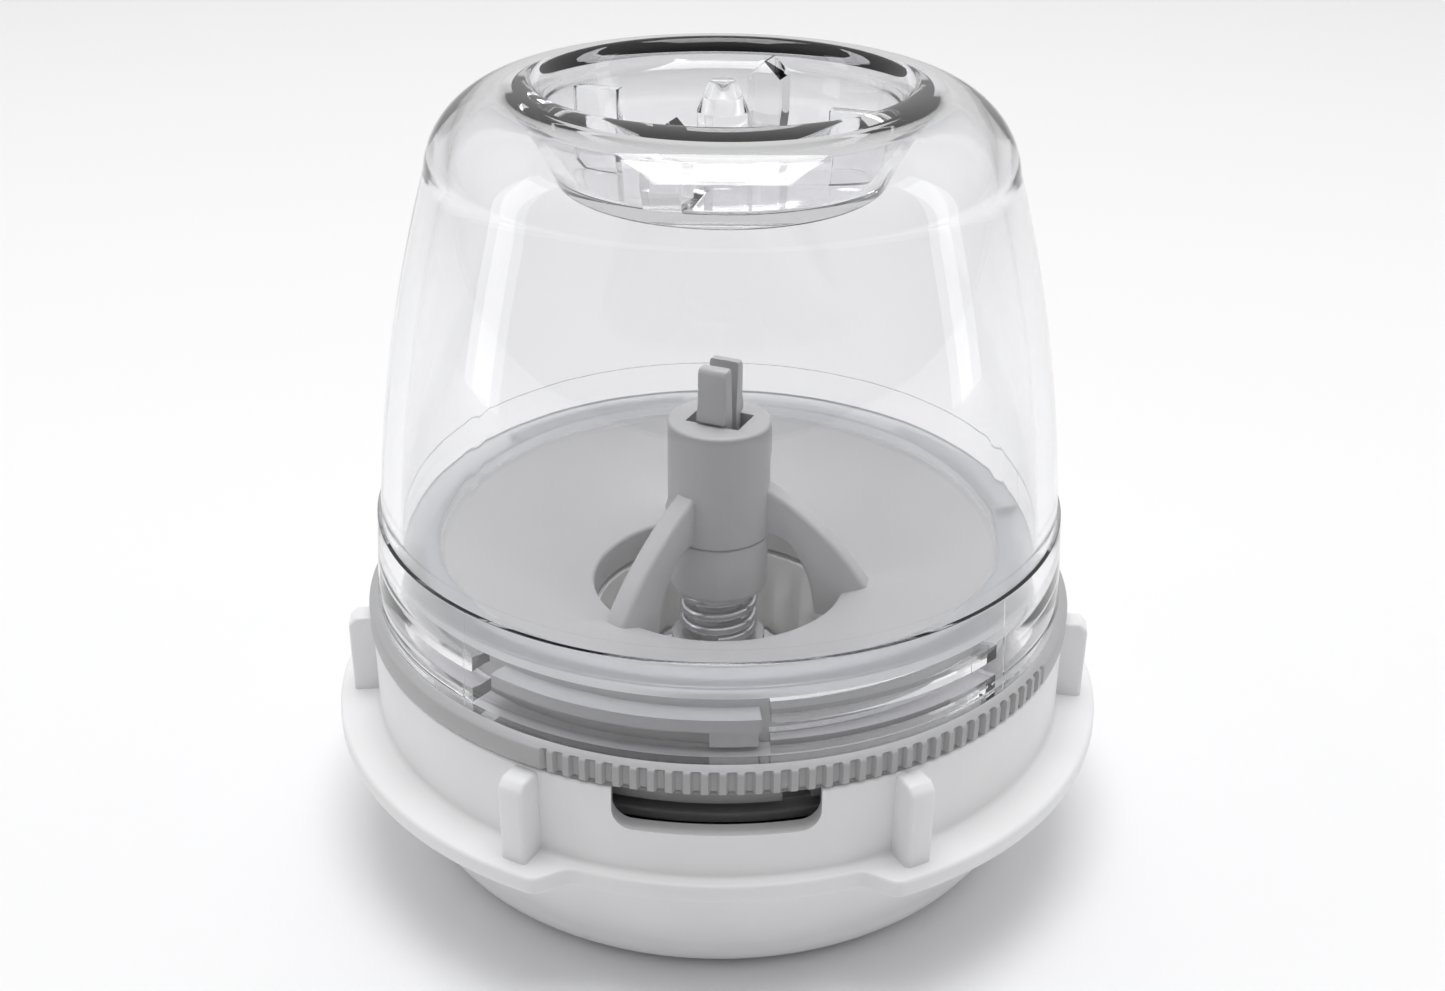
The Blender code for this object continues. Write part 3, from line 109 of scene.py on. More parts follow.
def object_from(name, points, faces):
    """An object at the origin from points in metres and lists of corners, closed and facing outwards."""
    mesh = bpy.data.meshes.new(name)
    mesh.from_pydata(points.tolist(), [], faces)
    made = bpy.data.objects.new(name, mesh)
    bpy.context.scene.collection.objects.link(made)
    clean(made)
    return made


def clean(piece):
    """Merge doubled points, point faces outwards, and shade smooth except at sharp edges."""
    work = bmesh.new()
    work.from_mesh(piece.data)
    bmesh.ops.remove_doubles(work, verts=work.verts, dist=0.002 * MM)
    bmesh.ops.dissolve_degenerate(work, edges=work.edges, dist=0.001 * MM)
    bmesh.ops.recalc_face_normals(work, faces=work.faces)
    work.to_mesh(piece.data)
    work.free()
    piece.data.shade_smooth()
    piece.data.set_sharp_from_angle(angle=np.radians(34.0))


def around(turn, radius, height):
    """Points at an angle from the front (degrees, positive towards +X), a radius and a height:
    x is radius times sine, y is minus radius times cosine."""
    angle = np.radians(turn)
    return np.stack(np.broadcast_arrays(radius * np.sin(angle), -radius * np.cos(angle), height), axis=-1)


def turned(name, profile, columns=216, close_profile=True):
    """Carry a profile of (radius, height) rows once round the axis."""
    turn = np.linspace(0.0, 360.0, columns, endpoint=False)
    return surface(name, around(turn[None, :], profile[:, :1], profile[:, 1:2]), close_profile)


print("helpers: surface, turned")

# %% [markdown]
# Moulded plastic has no knife edges. Each corner of a profile is therefore rounded with a true arc,
# written as a rational curve through the corner's two tangent points, so that all corners are worked out
# in one go.

# %% Round the corners of a profile
def rounded(corners, steps=5, closed=True):
    """Corners are (radius, height, rounding) rows. The arc at a corner C between tangent points A and B is
    ((1-t)^2 A + 2 t (1-t) w C + t^2 B) / ((1-t)^2 + 2 t (1-t) w + t^2), with w the sine of half the angle
    between its legs. Each tangent point lies rounding / tan(half angle) from the corner."""
    corners = np.array(corners, float)
    place, size = corners[:, :2], corners[:, 2]
    before = np.roll(place, 1, axis=0) - place
    after = np.roll(place, -1, axis=0) - place
    long_before = np.linalg.norm(before, axis=1)
    long_after = np.linalg.norm(after, axis=1)
    cosine = np.clip((before * after).sum(axis=1) / (long_before * long_after), -1.0, 1.0)
    half = 0.5 * np.arccos(cosine)
    back = np.minimum(size / np.tan(half), 0.45 * np.minimum(long_before, long_after))
    if not closed:
        back[[0, -1]] = 0.0
    first = place + before / long_before[:, None] * back[:, None]
    last = place + after / long_after[:, None] * back[:, None]
    t = np.linspace(0.0, 1.0, steps)[None, :, None]
    weight = np.sin(half)[:, None, None]
    share = ((1 - t) ** 2, 2 * t * (1 - t) * weight, t ** 2)
    curve = share[0] * first[:, None] + share[1] * place[:, None] + share[2] * last[:, None]
    return distinct((curve / sum(share)).reshape(-1, 2))


def distinct(points):
    """Leave out points that repeat the one before them."""
    step = np.linalg.norm(np.diff(points, axis=0), axis=1)
    return points[np.concatenate([[True], step > 0.004])]


def bowed(start, end, bulge, count):
    """Points from start to end on a shallow bow: the chord, plus bulge times 4 t (1-t) to the right of
    its run."""
    start, end = np.array(start, float), np.array(end, float)
    t = np.linspace(0.0, 1.0, count)[:, None]
    run = (end - start) / np.linalg.norm(end - start)
    return start + (end - start) * t + bulge * 4.0 * t * (1.0 - t) * np.array([run[1], -run[0]])


def quarter(start, corner, end, count):
    """A quarter of an ellipse from start to end, tangent to both legs through corner."""
    turn = np.linspace(0.0, 0.5 * np.pi, count)[:, None]
    start, corner, end = (np.array(point, float) for point in (start, corner, end))
    return corner + (start - corner) * (1.0 - np.sin(turn)) + (end - corner) * (1.0 - np.cos(turn))


square = [(0, 0, 1), (9, 0, 1), (9, 9, 1), (0, 9, 1)]
print("a square with 1 mm corners has", len(rounded(square)), "points")

# %% [markdown]
# Legs, posts and fins are flat plates that stand on end and point away from the axis. A plate is an
# outline with a thickness, and a Bevel takes the edge off it. Booleans then make it one moulding with the
# turned part, which matters most in the clear jar, where an inner wall would show.

# %% Plates, and joining shapes into one moulding
def prism(name, near, far):
    """A solid between two outlines of points in millimetres, each point joined to its partner."""
    points = (np.concatenate([near, far]) + (0.0, 0.0, SEAT)) * MM
    count = len(near)
    here = np.arange(count)
    there = np.roll(here, -1)
    sides = np.stack([here, there, there + count, here + count], axis=1).tolist()
    return object_from(name, points, sides + [here.tolist(), (here + count)[::-1].tolist()])


def plate(name, outline, thickness, angle, edge):
    """An outline of (radius, height) points given a thickness and pointed along an angle. Each outline
    point appears twice, half a thickness to either side."""
    outline = np.array(outline, float)
    flat = around(angle, outline[:, 0], outline[:, 1])
    across = around(angle + 90.0, 0.5 * thickness, 0.0)
    made = prism(name, flat - across, flat + across)
    if edge:
        bevel = made.modifiers.new("edge", "BEVEL")
        bevel.width = edge * MM
        bevel.segments = 3
        bevel.limit_method = "ANGLE"
        bevel.angle_limit = np.radians(40.0)
    return made


def bake(piece):
    """Make the modifiers' result the piece's own mesh."""
    bpy.context.view_layer.update()
    evaluated = piece.evaluated_get(bpy.context.evaluated_depsgraph_get())
    mesh = bpy.data.meshes.new_from_object(evaluated)
    piece.modifiers.clear()
    piece.data = mesh


def mould(piece, tools, operation="UNION"):
    """Join tools to a piece, or cut them out of it, and remove the tools."""
    for tool in tools:
        step = piece.modifiers.new(tool.name, "BOOLEAN")
        step.operation = operation
        step.solver = "EXACT"
        step.object = tool
    bake(piece)
    for tool in tools:
        bpy.data.objects.remove(tool, do_unlink=True)
    clean(piece)


print("helpers: prism, plate, mould")

# %% [markdown]
# ## The hopper jar
# The jar is injection moulded in a stiff clear plastic with thick walls. Its side bows gently, its
# shoulder rolls over into a sunk well, and bayonet ribs stand inside its skirt. Only the ribs break its
# roundness, so they are a change of radius in the same grid: depth times a mask round the axis times a
# mask in height.

# %% The jar's outer and inner profile
RIM_GAP = 0.3                       # the rim stands this far above the seat
SKIRT_INSIDE = JAR_RIM - 3.5
WELL_FLOOR = JAR_TOP - 11.9
STEP = (JAR_RIM - 1.5, 14.4)
SHOULDER = (JAR_RIM - 10.7, JAR_TOP - 10.9)
CREST = (JAR_RIM - 24.3, JAR_TOP)
MOUTH = (JAR_RIM - 26.6, JAR_TOP - 3.4)
RIB_BANDS = ((0.5, 2.5), (4.9, 6.9))    # lowest and highest point of each rib inside the skirt
RIB_SLOPE = 0.12                        # height over which a rib rises from the skirt


def jar_outside():
    """Well floor to rim, seen from the axis outwards: floor, well wall, lip, shoulder, side, step, skirt."""
    well = rounded([(0.0, WELL_FLOOR, 0), (20.1, WELL_FLOOR, 0.9), (*MOUTH, 0)], closed=False)
    lip = quarter(MOUTH, (MOUTH[0] + 0.1, JAR_TOP), CREST, 12)
    shoulder = quarter(CREST, (SHOULDER[0] - 1.0, JAR_TOP), SHOULDER, 26)
    side = bowed(SHOULDER, STEP, -1.35, 40)
    foot = rounded([(*STEP, 0), (STEP[0] + 0.45, STEP[1] - 0.15, 0.14), (JAR_RIM, RIM_GAP, 0.35),
                    (JAR_RIM - 1.0, RIM_GAP, 0)], closed=False)
    return distinct(np.vstack([well, lip, shoulder, side, foot]))


def jar_inside():
    """Rim to the well's underside: skirt, slight taper, side, ceiling corner, the back of the well."""
    bands = [(low, low + RIB_SLOPE, high - RIB_SLOPE, high) for low, high in RIB_BANDS]
    skirt = np.array([(SKIRT_INSIDE, height) for height in (RIM_GAP, *bands[0], *bands[1], 8.2)])
    ceiling = (27.1, JAR_TOP - 3.0)
    shoulder = (36.3, SHOULDER[1] - 1.0)
    side = bowed((SKIRT_INSIDE - 0.9, 13.6), shoulder, 1.35, 36)
    corner = quarter(shoulder, (shoulder[0] - 0.6, ceiling[1]), ceiling, 20)
    back = rounded([(*ceiling, 0), (25.5, JAR_TOP - 4.6, 0.8), (22.0, WELL_FLOOR - 2.0, 0.6),
                    (0.0, WELL_FLOOR - 2.0, 0)], closed=False)
    return distinct(np.vstack([skirt, side, corner, back]))


print("jar profile:", len(jar_outside()) + len(jar_inside()), "points")

# %% [markdown]
# The bayonet has four groups of two ribs. A hair-fine ridge outside marks each end of a group, where the
# halves of the mould met. Columns of the grid are packed closely only there, so the rest stays light.

# %% The jar's ribs and mould lines
RIB_STARTS = 8.0 + 90.0 * np.arange(4)
RIB_SWEEP = 41.0
RIB_DEPTH = 2.7
MOULD_LINE = 0.03                   # height of the ridge, mm


def rib_columns():
    """An even set of angles, plus close ones at each end of each rib group."""
    ends = np.concatenate([RIB_STARTS, RIB_STARTS + RIB_SWEEP])
    close = ends[:, None] + np.array([-0.3, -0.12, 0.0, 0.12, 0.3])[None, :]
    return np.unique(np.round(np.concatenate([np.arange(0.0, 360.0, 1.5), close.ravel() % 360.0]), 3))


def rib_mask(turn):
    """1 inside a rib group and 0 outside it, rising over a third of a degree."""
    into = (turn[None, :] - RIB_STARTS[:, None]) % 360.0
    return np.clip(np.minimum(into, RIB_SWEEP - into) / 0.3, 0.0, 1.0).max(axis=0)


def line_mask(turn):
    """A narrow peak at each end of each rib group."""
    ends = np.concatenate([RIB_STARTS, RIB_STARTS + RIB_SWEEP])
    away = np.abs((turn[None, :] - ends[:, None] + 180.0) % 360.0 - 180.0)
    return np.clip(1.0 - away / 0.12, 0.0, 1.0).max(axis=0)


def jar_shell():
    """The grid's radius is the profile's, less the ribs inside the skirt, plus the mould lines outside it."""
    turn = rib_columns()
    outside, inside = jar_outside(), jar_inside()
    profile = np.vstack([outside, inside])
    radius, height = profile[:, :1], profile[:, 1:2]
    inner = np.arange(len(profile))[:, None] >= len(outside)
    edge = 0.5 * RIB_SLOPE
    in_rib = np.any([(height > low + edge) & (height < high - edge) for low, high in RIB_BANDS], axis=0)
    radius = radius - RIB_DEPTH * rib_mask(turn)[None, :] * (inner & in_rib)
    skirt = ~inner & (height < STEP[1]) & (profile[:, :1] > STEP[0])
    radius = radius + MOULD_LINE * line_mask(turn)[None, :] * skirt
    return surface("hopper_jar_fine", around(turn[None, :], radius, height), close_profile=False)


jar = jar_shell()
print("jar shell:", len(jar.data.polygons), "faces")

# %% [markdown]
# In the well stand a pin and four fins, two flat and two with a gabled top. They key the jar into a lid
# or a cap. All are sunk a little into the floor and the wall and then joined to them.

# %% The well's pin and fins
FIN_TURN = -20.0
WELL_WALL = 21.05                   # middle of the well's wall
FIN_ROOT = WELL_FLOOR - 1.0


def gabled_fin(name, angle):
    """A block whose section across the fin is a house shape, carried along the radius."""
    section = np.array([(-2.4, FIN_ROOT), (2.4, FIN_ROOT), (2.4, JAR_TOP - 3.8), (0.0, JAR_TOP - 1.4),
                        (-2.4, JAR_TOP - 3.8)])
    side = around(angle + 90.0, section[:, 0], 0.0)
    ends = [around(angle, radius, section[:, 1]) + side for radius in (WELL_WALL - 4.6, WELL_WALL)]
    return prism(name, *ends)


TAB_TOP = JAR_TOP - 2.8
TAB_END = WELL_WALL - 6.4
tab = [(TAB_END, FIN_ROOT), (WELL_WALL, FIN_ROOT), (WELL_WALL, TAB_TOP), (TAB_END, TAB_TOP)]
pin = rounded([(0.0, FIN_ROOT, 0), (3.4, FIN_ROOT, 0), (3.4, JAR_TOP - 4.4, 0.3), (1.7, JAR_TOP - 0.4, 0.3),
               (0.0, JAR_TOP - 0.4, 0)], closed=False)
well_parts = [turned("pin_tool", pin, 64, close_profile=False),
              plate("tab_tool_1", tab, 2.2, FIN_TURN + 90.0, 0.25),
              plate("tab_tool_2", tab, 2.2, FIN_TURN - 90.0, 0.25),
              gabled_fin("gable_tool_1", FIN_TURN), gabled_fin("gable_tool_2", FIN_TURN + 180.0)]
mould(jar, well_parts)
print("jar with fins:", len(jar.data.polygons), "faces")

# %% [markdown]
# ## The grinder head
# One grey moulding: a dished plate that guides the grain to a hole, a hub held over it by three arched
# legs, and a skirt with lugs that slide between the jar's ribs. The lugs and stops are again changes of
# radius.

# %% The head's plate and skirt
PLATE = 42.7
HOLE = 18.5
LUG_REACH = 2.6
LUG_ENDS = RIB_STARTS - 1.0         # each lug stops just short of a rib group
LUG_SWEEP = 46.0
STOP_ENDS = LUG_ENDS - 0.4
STOP_SWEEP = 8.0


def head_profile():
    """Plate, skirt, foot flange, the skirt's inside, the plate's underside and the throat."""
    return rounded([(PLATE, 7.8, 0.35), (PLATE, 4.6, 0), (PLATE, 4.55, 0), (PLATE, 3.75, 0), (PLATE, 3.7, 0),
                    (PLATE, 2.85, 0), (PLATE, 2.8, 0), (PLATE, 0.65, 0), (PLATE, 0.6, 0), (PLATE, -10.5, 0),
                    (PLATE + 2.6, -10.5, 0.3), (PLATE + 2.6, -12.0, 0.3), (PLATE - 2.1, -12.0, 0.2),
                    (PLATE - 2.1, 4.9, 0.6), (HOLE + 2.0, -2.5, 0.6), (HOLE + 2.0, -5.0, 0.2),
                    (HOLE, -5.0, 0.2), (HOLE, -0.3, 0.7), (PLATE - 2.8, 7.4, 0.3),
                    (PLATE - 2.2, 7.8, 0.2)], steps=4)


def sector_mask(turn, last, sweep):
    """1 over a sector that ends at each angle in last, with steep sides."""
    back = (last[:, None] - turn[None, :]) % 360.0
    return np.clip(np.minimum(back, sweep - back) / 0.2, 0.0, 1.0).max(axis=0)


def head_shell():
    """The skirt's radius grows by a lug's or a stop's reach where both the height and the sector are
    its own."""
    ends = np.concatenate([LUG_ENDS, LUG_ENDS - LUG_SWEEP, STOP_ENDS, STOP_ENDS - STOP_SWEEP])
    close = (ends[:, None] + np.array([-0.2, 0.0, 0.2])[None, :]).ravel() % 360.0
    turn = np.unique(np.round(np.concatenate([np.arange(0.0, 360.0, 1.5), close]), 3))
    profile = head_profile()
    radius, height = profile[:, :1], profile[:, 1:2]
    skirt = np.abs(radius - PLATE) < 0.01
    lug = skirt & (height > 2.82) & (height < 4.58)
    stop = skirt & (height > 0.62) & (height < 3.72)
    grown = np.maximum(LUG_REACH * sector_mask(turn, LUG_ENDS, LUG_SWEEP)[None, :] * lug,
                       (LUG_REACH - 0.2) * sector_mask(turn, STOP_ENDS, STOP_SWEEP)[None, :] * stop)
    return surface("grinder_body_fine", around(turn[None, :], radius + grown, height), close_profile=True)


head = head_shell()
print("head shell:", len(head.data.polygons), "faces")

# %% [markdown]
# The legs are thin gussets. The back of each bows from the hub to the plate, and an arch inside leaves
# room for the spring cup. A generous bevel gives them the soft edges of a real moulding.

# %% The head's hub and legs
HUB = 7.5
HUB_LOW, HUB_HIGH = 7.7, 25.2
LEG_TURNS = (-41.0, 79.0, 199.0)
SLOT_TURN = -24.0
THIRDS = (60.0, 180.0, 300.0)       # where the skirt's pin slots and the collar's ledges are


def leg_outline():
    """Bowed back from toe to hub, then down the arch to the inner foot inside the throat."""
    back = bowed((22.6, 0.67), (HUB, 15.4), 1.2, 14)
    arch = quarter((HUB, HUB_LOW + 0.3), (13.8, HUB_LOW + 0.3), (14.6, -4.4), 14)
    inner = [(HUB - 2.0, 15.4), (HUB - 2.0, HUB_LOW + 0.3)]
    return np.vstack([back, inner, arch, [(19.5, -4.4), (19.5, -1.4)]])


hub = rounded([(0.0, HUB_LOW, 0), (HUB, HUB_LOW, 0.3), (HUB, HUB_HIGH, 0.5), (0.0, HUB_HIGH, 0)],
              closed=False)
legs = [plate("leg_tool_%d" % number, leg_outline(), 3.4, turn, 0.7) for number, turn in enumerate(LEG_TURNS)]
mould(head, [turned("hub_tool", hub, 96, close_profile=False)] + legs)
prong_slot = [(-2.9, HUB_LOW - 3.0), (2.9, HUB_LOW - 3.0), (2.9, HUB_HIGH + 3.0), (-2.9, HUB_HIGH + 3.0)]
mould(head, [plate("slot_tool", prong_slot, 8.2, SLOT_TURN + 180.0, 0)], "DIFFERENCE")
pin_slot = [(38.5, -8.0), (44.8, -8.0), (44.8, -4.0), (38.5, -4.0)]
slots = [plate("pin_slot_tool_%d" % turn, pin_slot, 3.0, turn, 0) for turn in THIRDS]
mould(head, slots, "DIFFERENCE")
print("head:", len(head.data.polygons), "faces")

# %% [markdown]
# ## Spring holder and spring
# A cup under the hub holds the spring, and two prongs snap through the slot. The spring is round wire on
# a helix whose first and last turns lie almost flat. A tube along a path needs only the path and a circle
# across it.

# %% The spring holder
HOLDER = 7.2
HOLDER_FOOT = foot_of("spring_holder")
PRONG_TOP = top_of("spring_holder")

cup = rounded([(0.0, HUB_LOW - 0.3, 0), (HOLDER, HUB_LOW - 0.3, 0.3), (HOLDER, HOLDER_FOOT + 0.8, 0.2),
               (HOLDER - 0.4, HOLDER_FOOT, 0.15), (HOLDER - 0.9, HOLDER_FOOT, 0), (HOLDER - 0.9, 3.0, 0.2),
               (0.0, 3.0, 0)], closed=False)
holder = turned("spring_holder_fine", cup, 96, close_profile=False)


def prong_block():
    """Both prongs as one block whose half width steps out at the barb and narrows a little to the tip."""
    half = np.array([2.6, 2.6, 3.5, 3.5, 3.1, 3.1, 2.7])
    height = np.array([HUB_LOW - 1.3, HUB_HIGH + 0.3, HUB_HIGH + 0.31, HUB_HIGH + 1.7, HUB_HIGH + 2.9,
                       PRONG_TOP - 0.9, PRONG_TOP])
    outline = np.concatenate([np.stack([half, height], 1), np.stack([-half, height], 1)[::-1]])
    return plate("prong_tool", outline, 4.4, SLOT_TURN + 180.0, 0.35)


def prong_slit():
    """A wedge across the axis: narrow inside the hub and twice as wide between the tips."""
    low, neck, high = 10.2, HUB_HIGH + 1.5, PRONG_TOP + 3.0
    outline = [(-0.65, low), (0.65, low), (0.75, neck), (1.5, high), (-1.5, high), (-0.75, neck)]
    return plate("slit_tool", outline, 16.4, SLOT_TURN + 180.0, 0)


mould(holder, [prong_block()])
journal = np.array([(0.0, 1.0), (1.9, 1.0), (1.9, 8.6), (0.0, 8.6)])
cuts = [prong_slit(), turned("journal_tool", journal, 48, close_profile=False)]
mould(holder, cuts, "DIFFERENCE")
print("holder:", len(holder.data.polygons), "faces")

# %% The spring
SPRING, WIRE, TURNS = 5.2, 0.75, 5.0
SPRING_LOW = foot_of("spring")
SPRING_HIGH = top_of("spring")


def spring_mesh():
    """Height along the wire rises by just over two wire radii in each end turn and evenly between them.
    The wire's surface is the path plus a circle of the wire's radius in the upright plane through the
    axis."""
    t = np.linspace(0.0, TURNS, 401)
    closed = 2.15 * WIRE
    low, high = SPRING_LOW + WIRE, SPRING_HIGH - WIRE
    pitch = (high - low - 2.0 * closed) / (TURNS - 2.0)
    ends = np.minimum(t, 1.0) + np.maximum(t - (TURNS - 1.0), 0.0)
    height = low + closed * ends + pitch * np.clip(t - 1.0, 0.0, TURNS - 2.0)
    lap = np.linspace(0.0, 2.0 * np.pi, 20, endpoint=False)[None, :]
    grid = around(360.0 * t[:, None], SPRING + WIRE * np.cos(lap), height[:, None] + WIRE * np.sin(lap))
    first, last = grid[:1].mean(axis=1, keepdims=True), grid[-1:].mean(axis=1, keepdims=True)
    caps = [np.repeat(end, 20, axis=1) for end in (first, last)]
    return surface("spring_fine", np.vstack([caps[0], grid, caps[1]]), close_profile=False)


spring = spring_mesh()
print("spring:", len(spring.data.polygons), "faces")

# %% [markdown]
# ## Setting ring
# The ring is knurled with fine upright teeth over two fields and plain between them. The tooth shape is a
# trapezoid wave of the turn, so the knurl is one more change of radius, kept to the ring's outer face.

# %% The setting ring
RING = reach("grip_ring")
RING_FOOT = foot_of("grip_ring")
KNURL_PITCH, KNURL_DEPTH = 2.5, 0.7
KNURL_START, KNURL_SWEEP = -25.0, 85.0


def knurl(turn):
    """How far the face is cut back, from 0 on a tooth and on the plain stretches to 1 in a groove. A
    tooth is about half the pitch wide at mid height and has slanted flanks."""
    into = (turn - KNURL_START) % 180.0
    share = (into % KNURL_PITCH) / KNURL_PITCH
    tooth = np.clip(np.minimum(share, 0.68 - share) / 0.16, 0.0, 1.0)
    return np.where(into < KNURL_SWEEP, 1.0 - tooth, 0.0)


def ring_shell():
    """Profile: face, skirt, cam groove. The face's rows take the knurl, easing off at its rounded edges."""
    profile = rounded([(RING, 0.0, 0.45), (RING, -3.3, 0.45), (46.0, -3.3, 0.3), (46.0, RING_FOOT, 0.3),
                       (PLATE + 0.5, RING_FOOT, 0.2), (PLATE + 0.5, -7.9, 0), (PLATE + 2.1, -7.9, 0),
                       (PLATE + 2.1, -4.1, 0), (PLATE + 0.5, -4.1, 0), (PLATE + 0.5, 0.0, 0.2)])
    turn = np.unique(np.round(np.concatenate([np.arange(0.0, 360.0, 1.25),
                     (KNURL_START + np.arange(0.0, 360.0, KNURL_PITCH)[:, None]
                      + KNURL_PITCH * np.array([0.0, 0.16, 0.52, 0.68])[None, :]).ravel() % 360.0]), 3))
    radius, height = profile[:, :1], profile[:, 1:2]
    face = np.clip((radius - (RING - 0.45)) / 0.3, 0.0, 1.0)
    radius = radius - KNURL_DEPTH * knurl(turn)[None, :] * face
    return surface("grip_ring_fine", around(turn[None, :], radius, height), close_profile=True)


ring = ring_shell()
notch = [plate("notch_tool", [(40.0, -12.0), (50.0, -12.0), (50.0, -4.3), (40.0, -4.3)], 4.0, 13.0, 1.2)]
mould(ring, notch, "DIFFERENCE")
print("ring:", len(ring.data.polygons), "faces")

# %% [markdown]
# ## White collar
# The collar's wall carries six posts and a flange that swells into two lobes, so that it enters a socket
# in one way and locks when turned. The lobes make the flange's radius a function of the turn.

# %% The collar
COLLAR = 51.0
COLLAR_TOP = top_of("drive_collar")
FLANGE = reach("drive_collar")
FLANGE_WAIST = FLANGE - 3.9
FLANGE_HIGH = COLLAR_FOOT + 2.7
WAIST_HALF, WAIST_EASE = 20.2, 4.6  # degrees to each side of the front and the back
POST_TURNS = (-28.5, 28.5, -83.0, 83.0, -151.5, 151.5)


def flange_change(turn):
    """How far the flange draws in: all the way at a waist and not at all in a lobe, with the smooth S
    3 s^2 - 2 s^3 between."""
    away = np.abs((turn + 90.0) % 180.0 - 90.0)
    share = np.clip((away - WAIST_HALF) / WAIST_EASE, 0.0, 1.0)
    return (FLANGE - FLANGE_WAIST) * (1.0 - share * share * (3.0 - 2.0 * share))


def collar_shell():
    """The flange's rows move in by its change; the wall's rows stay round."""
    inner = COLLAR - 2.4
    profile = rounded([(FLANGE, FLANGE_HIGH, 0.6), (FLANGE, COLLAR_FOOT, 0.6), (inner, COLLAR_FOOT, 0.2),
                       (inner, COLLAR_TOP, 0.3), (COLLAR, COLLAR_TOP, 0.4), (COLLAR, FLANGE_HIGH, 0.7)])
    turn = np.arange(0.0, 360.0, 1.0)
    radius, height = profile[:, :1], profile[:, 1:2]
    on_flange = np.clip((radius - COLLAR - 1.0) / (FLANGE - COLLAR - 1.7), 0.0, 1.0)
    radius = radius - flange_change(turn)[None, :] * on_flange
    return surface("drive_collar_fine", around(turn[None, :], radius, height), close_profile=True)


collar = collar_shell()
post = [(COLLAR - 1.2, FLANGE_HIGH - 1.0), (COLLAR + 3.7, FLANGE_HIGH - 1.0), (COLLAR + 3.7, -5.1),
        (COLLAR + 2.6, -4.0), (COLLAR - 1.2, -4.0)]
mould(collar, [plate("post_tool_%d" % number, post, 3.7, turn, 0.5)
               for number, turn in enumerate(POST_TURNS)])
print("collar with posts:", len(collar.data.polygons), "faces")

# %% [markdown]
# The window is a notch in the top of the front wall with rounded lower corners. Inside, three ledges
# carry the grinder head's foot flange.

# %% The collar's window and ledges
WINDOW_FOOT = -9.6
WINDOW_HALF = COLLAR * np.sin(np.radians(15.0))


def front_block(name, outline):
    """An outline of (x, height) points pushed from outside the front wall to well inside it."""
    return prism(name, *[np.stack([outline[:, 0], np.full(len(outline), y), outline[:, 1]], axis=1)
                         for y in (-COLLAR - 9.0, -COLLAR + 11.0)])


window = rounded([(-WINDOW_HALF, COLLAR_TOP + 2.0, 0), (-WINDOW_HALF, WINDOW_FOOT, 2.6),
                  (WINDOW_HALF, WINDOW_FOOT, 2.6), (WINDOW_HALF, COLLAR_TOP + 2.0, 0)], steps=10)
mould(collar, [front_block("window_tool", window)], "DIFFERENCE")


def ledge(name, middle):
    """A block bent round the axis, as a closed section carried over a sweep of 24 degrees."""
    inner, low = COLLAR - 7.0, -13.9
    section = np.array([(inner, low), (COLLAR - 1.6, low), (COLLAR - 1.6, low + 1.6), (inner, low + 1.6)])
    turn = np.linspace(middle - 12.0, middle + 12.0, 17)
    grid = around(turn[:, None], section[None, :, 0], section[None, :, 1])
    centres = [np.repeat(grid[[row]].mean(axis=1, keepdims=True), 4, axis=1) for row in (0, -1)]
    return surface(name, np.vstack([centres[0], grid, centres[1]]), close_profile=False)


mould(collar, [ledge("ledge_tool_%d" % middle, middle) for middle in THIRDS])
print("collar:", len(collar.data.polygons), "faces")

# %% [markdown]
# ## Base, liner, gasket and burr
# These are plain turned parts. The base stands on a flat ring under its rounded edge. The liner is made black
# as painted shade: it stands for the deep shadow seen through the collar's window.

# %% The plain turned parts
BOWL_RIM_HEIGHT = COLLAR_FOOT - 0.3
BURR_FOOT = foot_of("outer_burr")


def bowl_profile():
    """Rim, side and rounded edge outside; foot ring, drive pocket and tower; then the inside and the
    spigot."""
    side = bowed((50.0, BOWL_RIM_HEIGHT), (46.5, TABLE + 5.5), -0.5, 12)
    edge = quarter((46.5, TABLE + 5.5), (46.5, TABLE), (41.0, TABLE), 14)
    under = rounded([(41.0, TABLE, 0), (33.0, TABLE, 0.3), (32.4, TABLE + 1.6, 0.3),
                     (13.0, TABLE + 1.6, 0.4), (13.0, -27.6, 0.3), (5.6, -27.6, 0), (5.6, -24.2, 0),
                     (7.6, -24.2, 0.3), (7.6, -26.0, 0.3), (14.8, -26.0, 0.4), (14.8, TABLE + 3.8, 0.6),
                     (39.8, TABLE + 3.8, 0)], closed=False)
    inside = quarter((39.8, TABLE + 3.8), (44.3, TABLE + 3.8), (44.3, TABLE + 8.3), 10)
    rim = rounded([(44.3, TABLE + 8.3, 0), (46.2, BOWL_RIM_HEIGHT - 1.0, 0),
                   (46.2, BOWL_RIM_HEIGHT + 3.7, 0.3), (48.3, BOWL_RIM_HEIGHT + 3.7, 0.3),
                   (48.3, BOWL_RIM_HEIGHT, 0), (50.0, BOWL_RIM_HEIGHT, 0)], closed=False)
    return distinct(np.vstack([side, edge, under, inside, rim]))[:-1]


def box_section(node, wall, edge):
    """A ring of rectangular section that fills its CAD node's box, with a wall of a given thickness."""
    out, low, high = reach(node), foot_of(node), top_of(node)
    return rounded([(out, high, edge), (out, low, edge), (out - wall, low, edge), (out - wall, high, edge)])


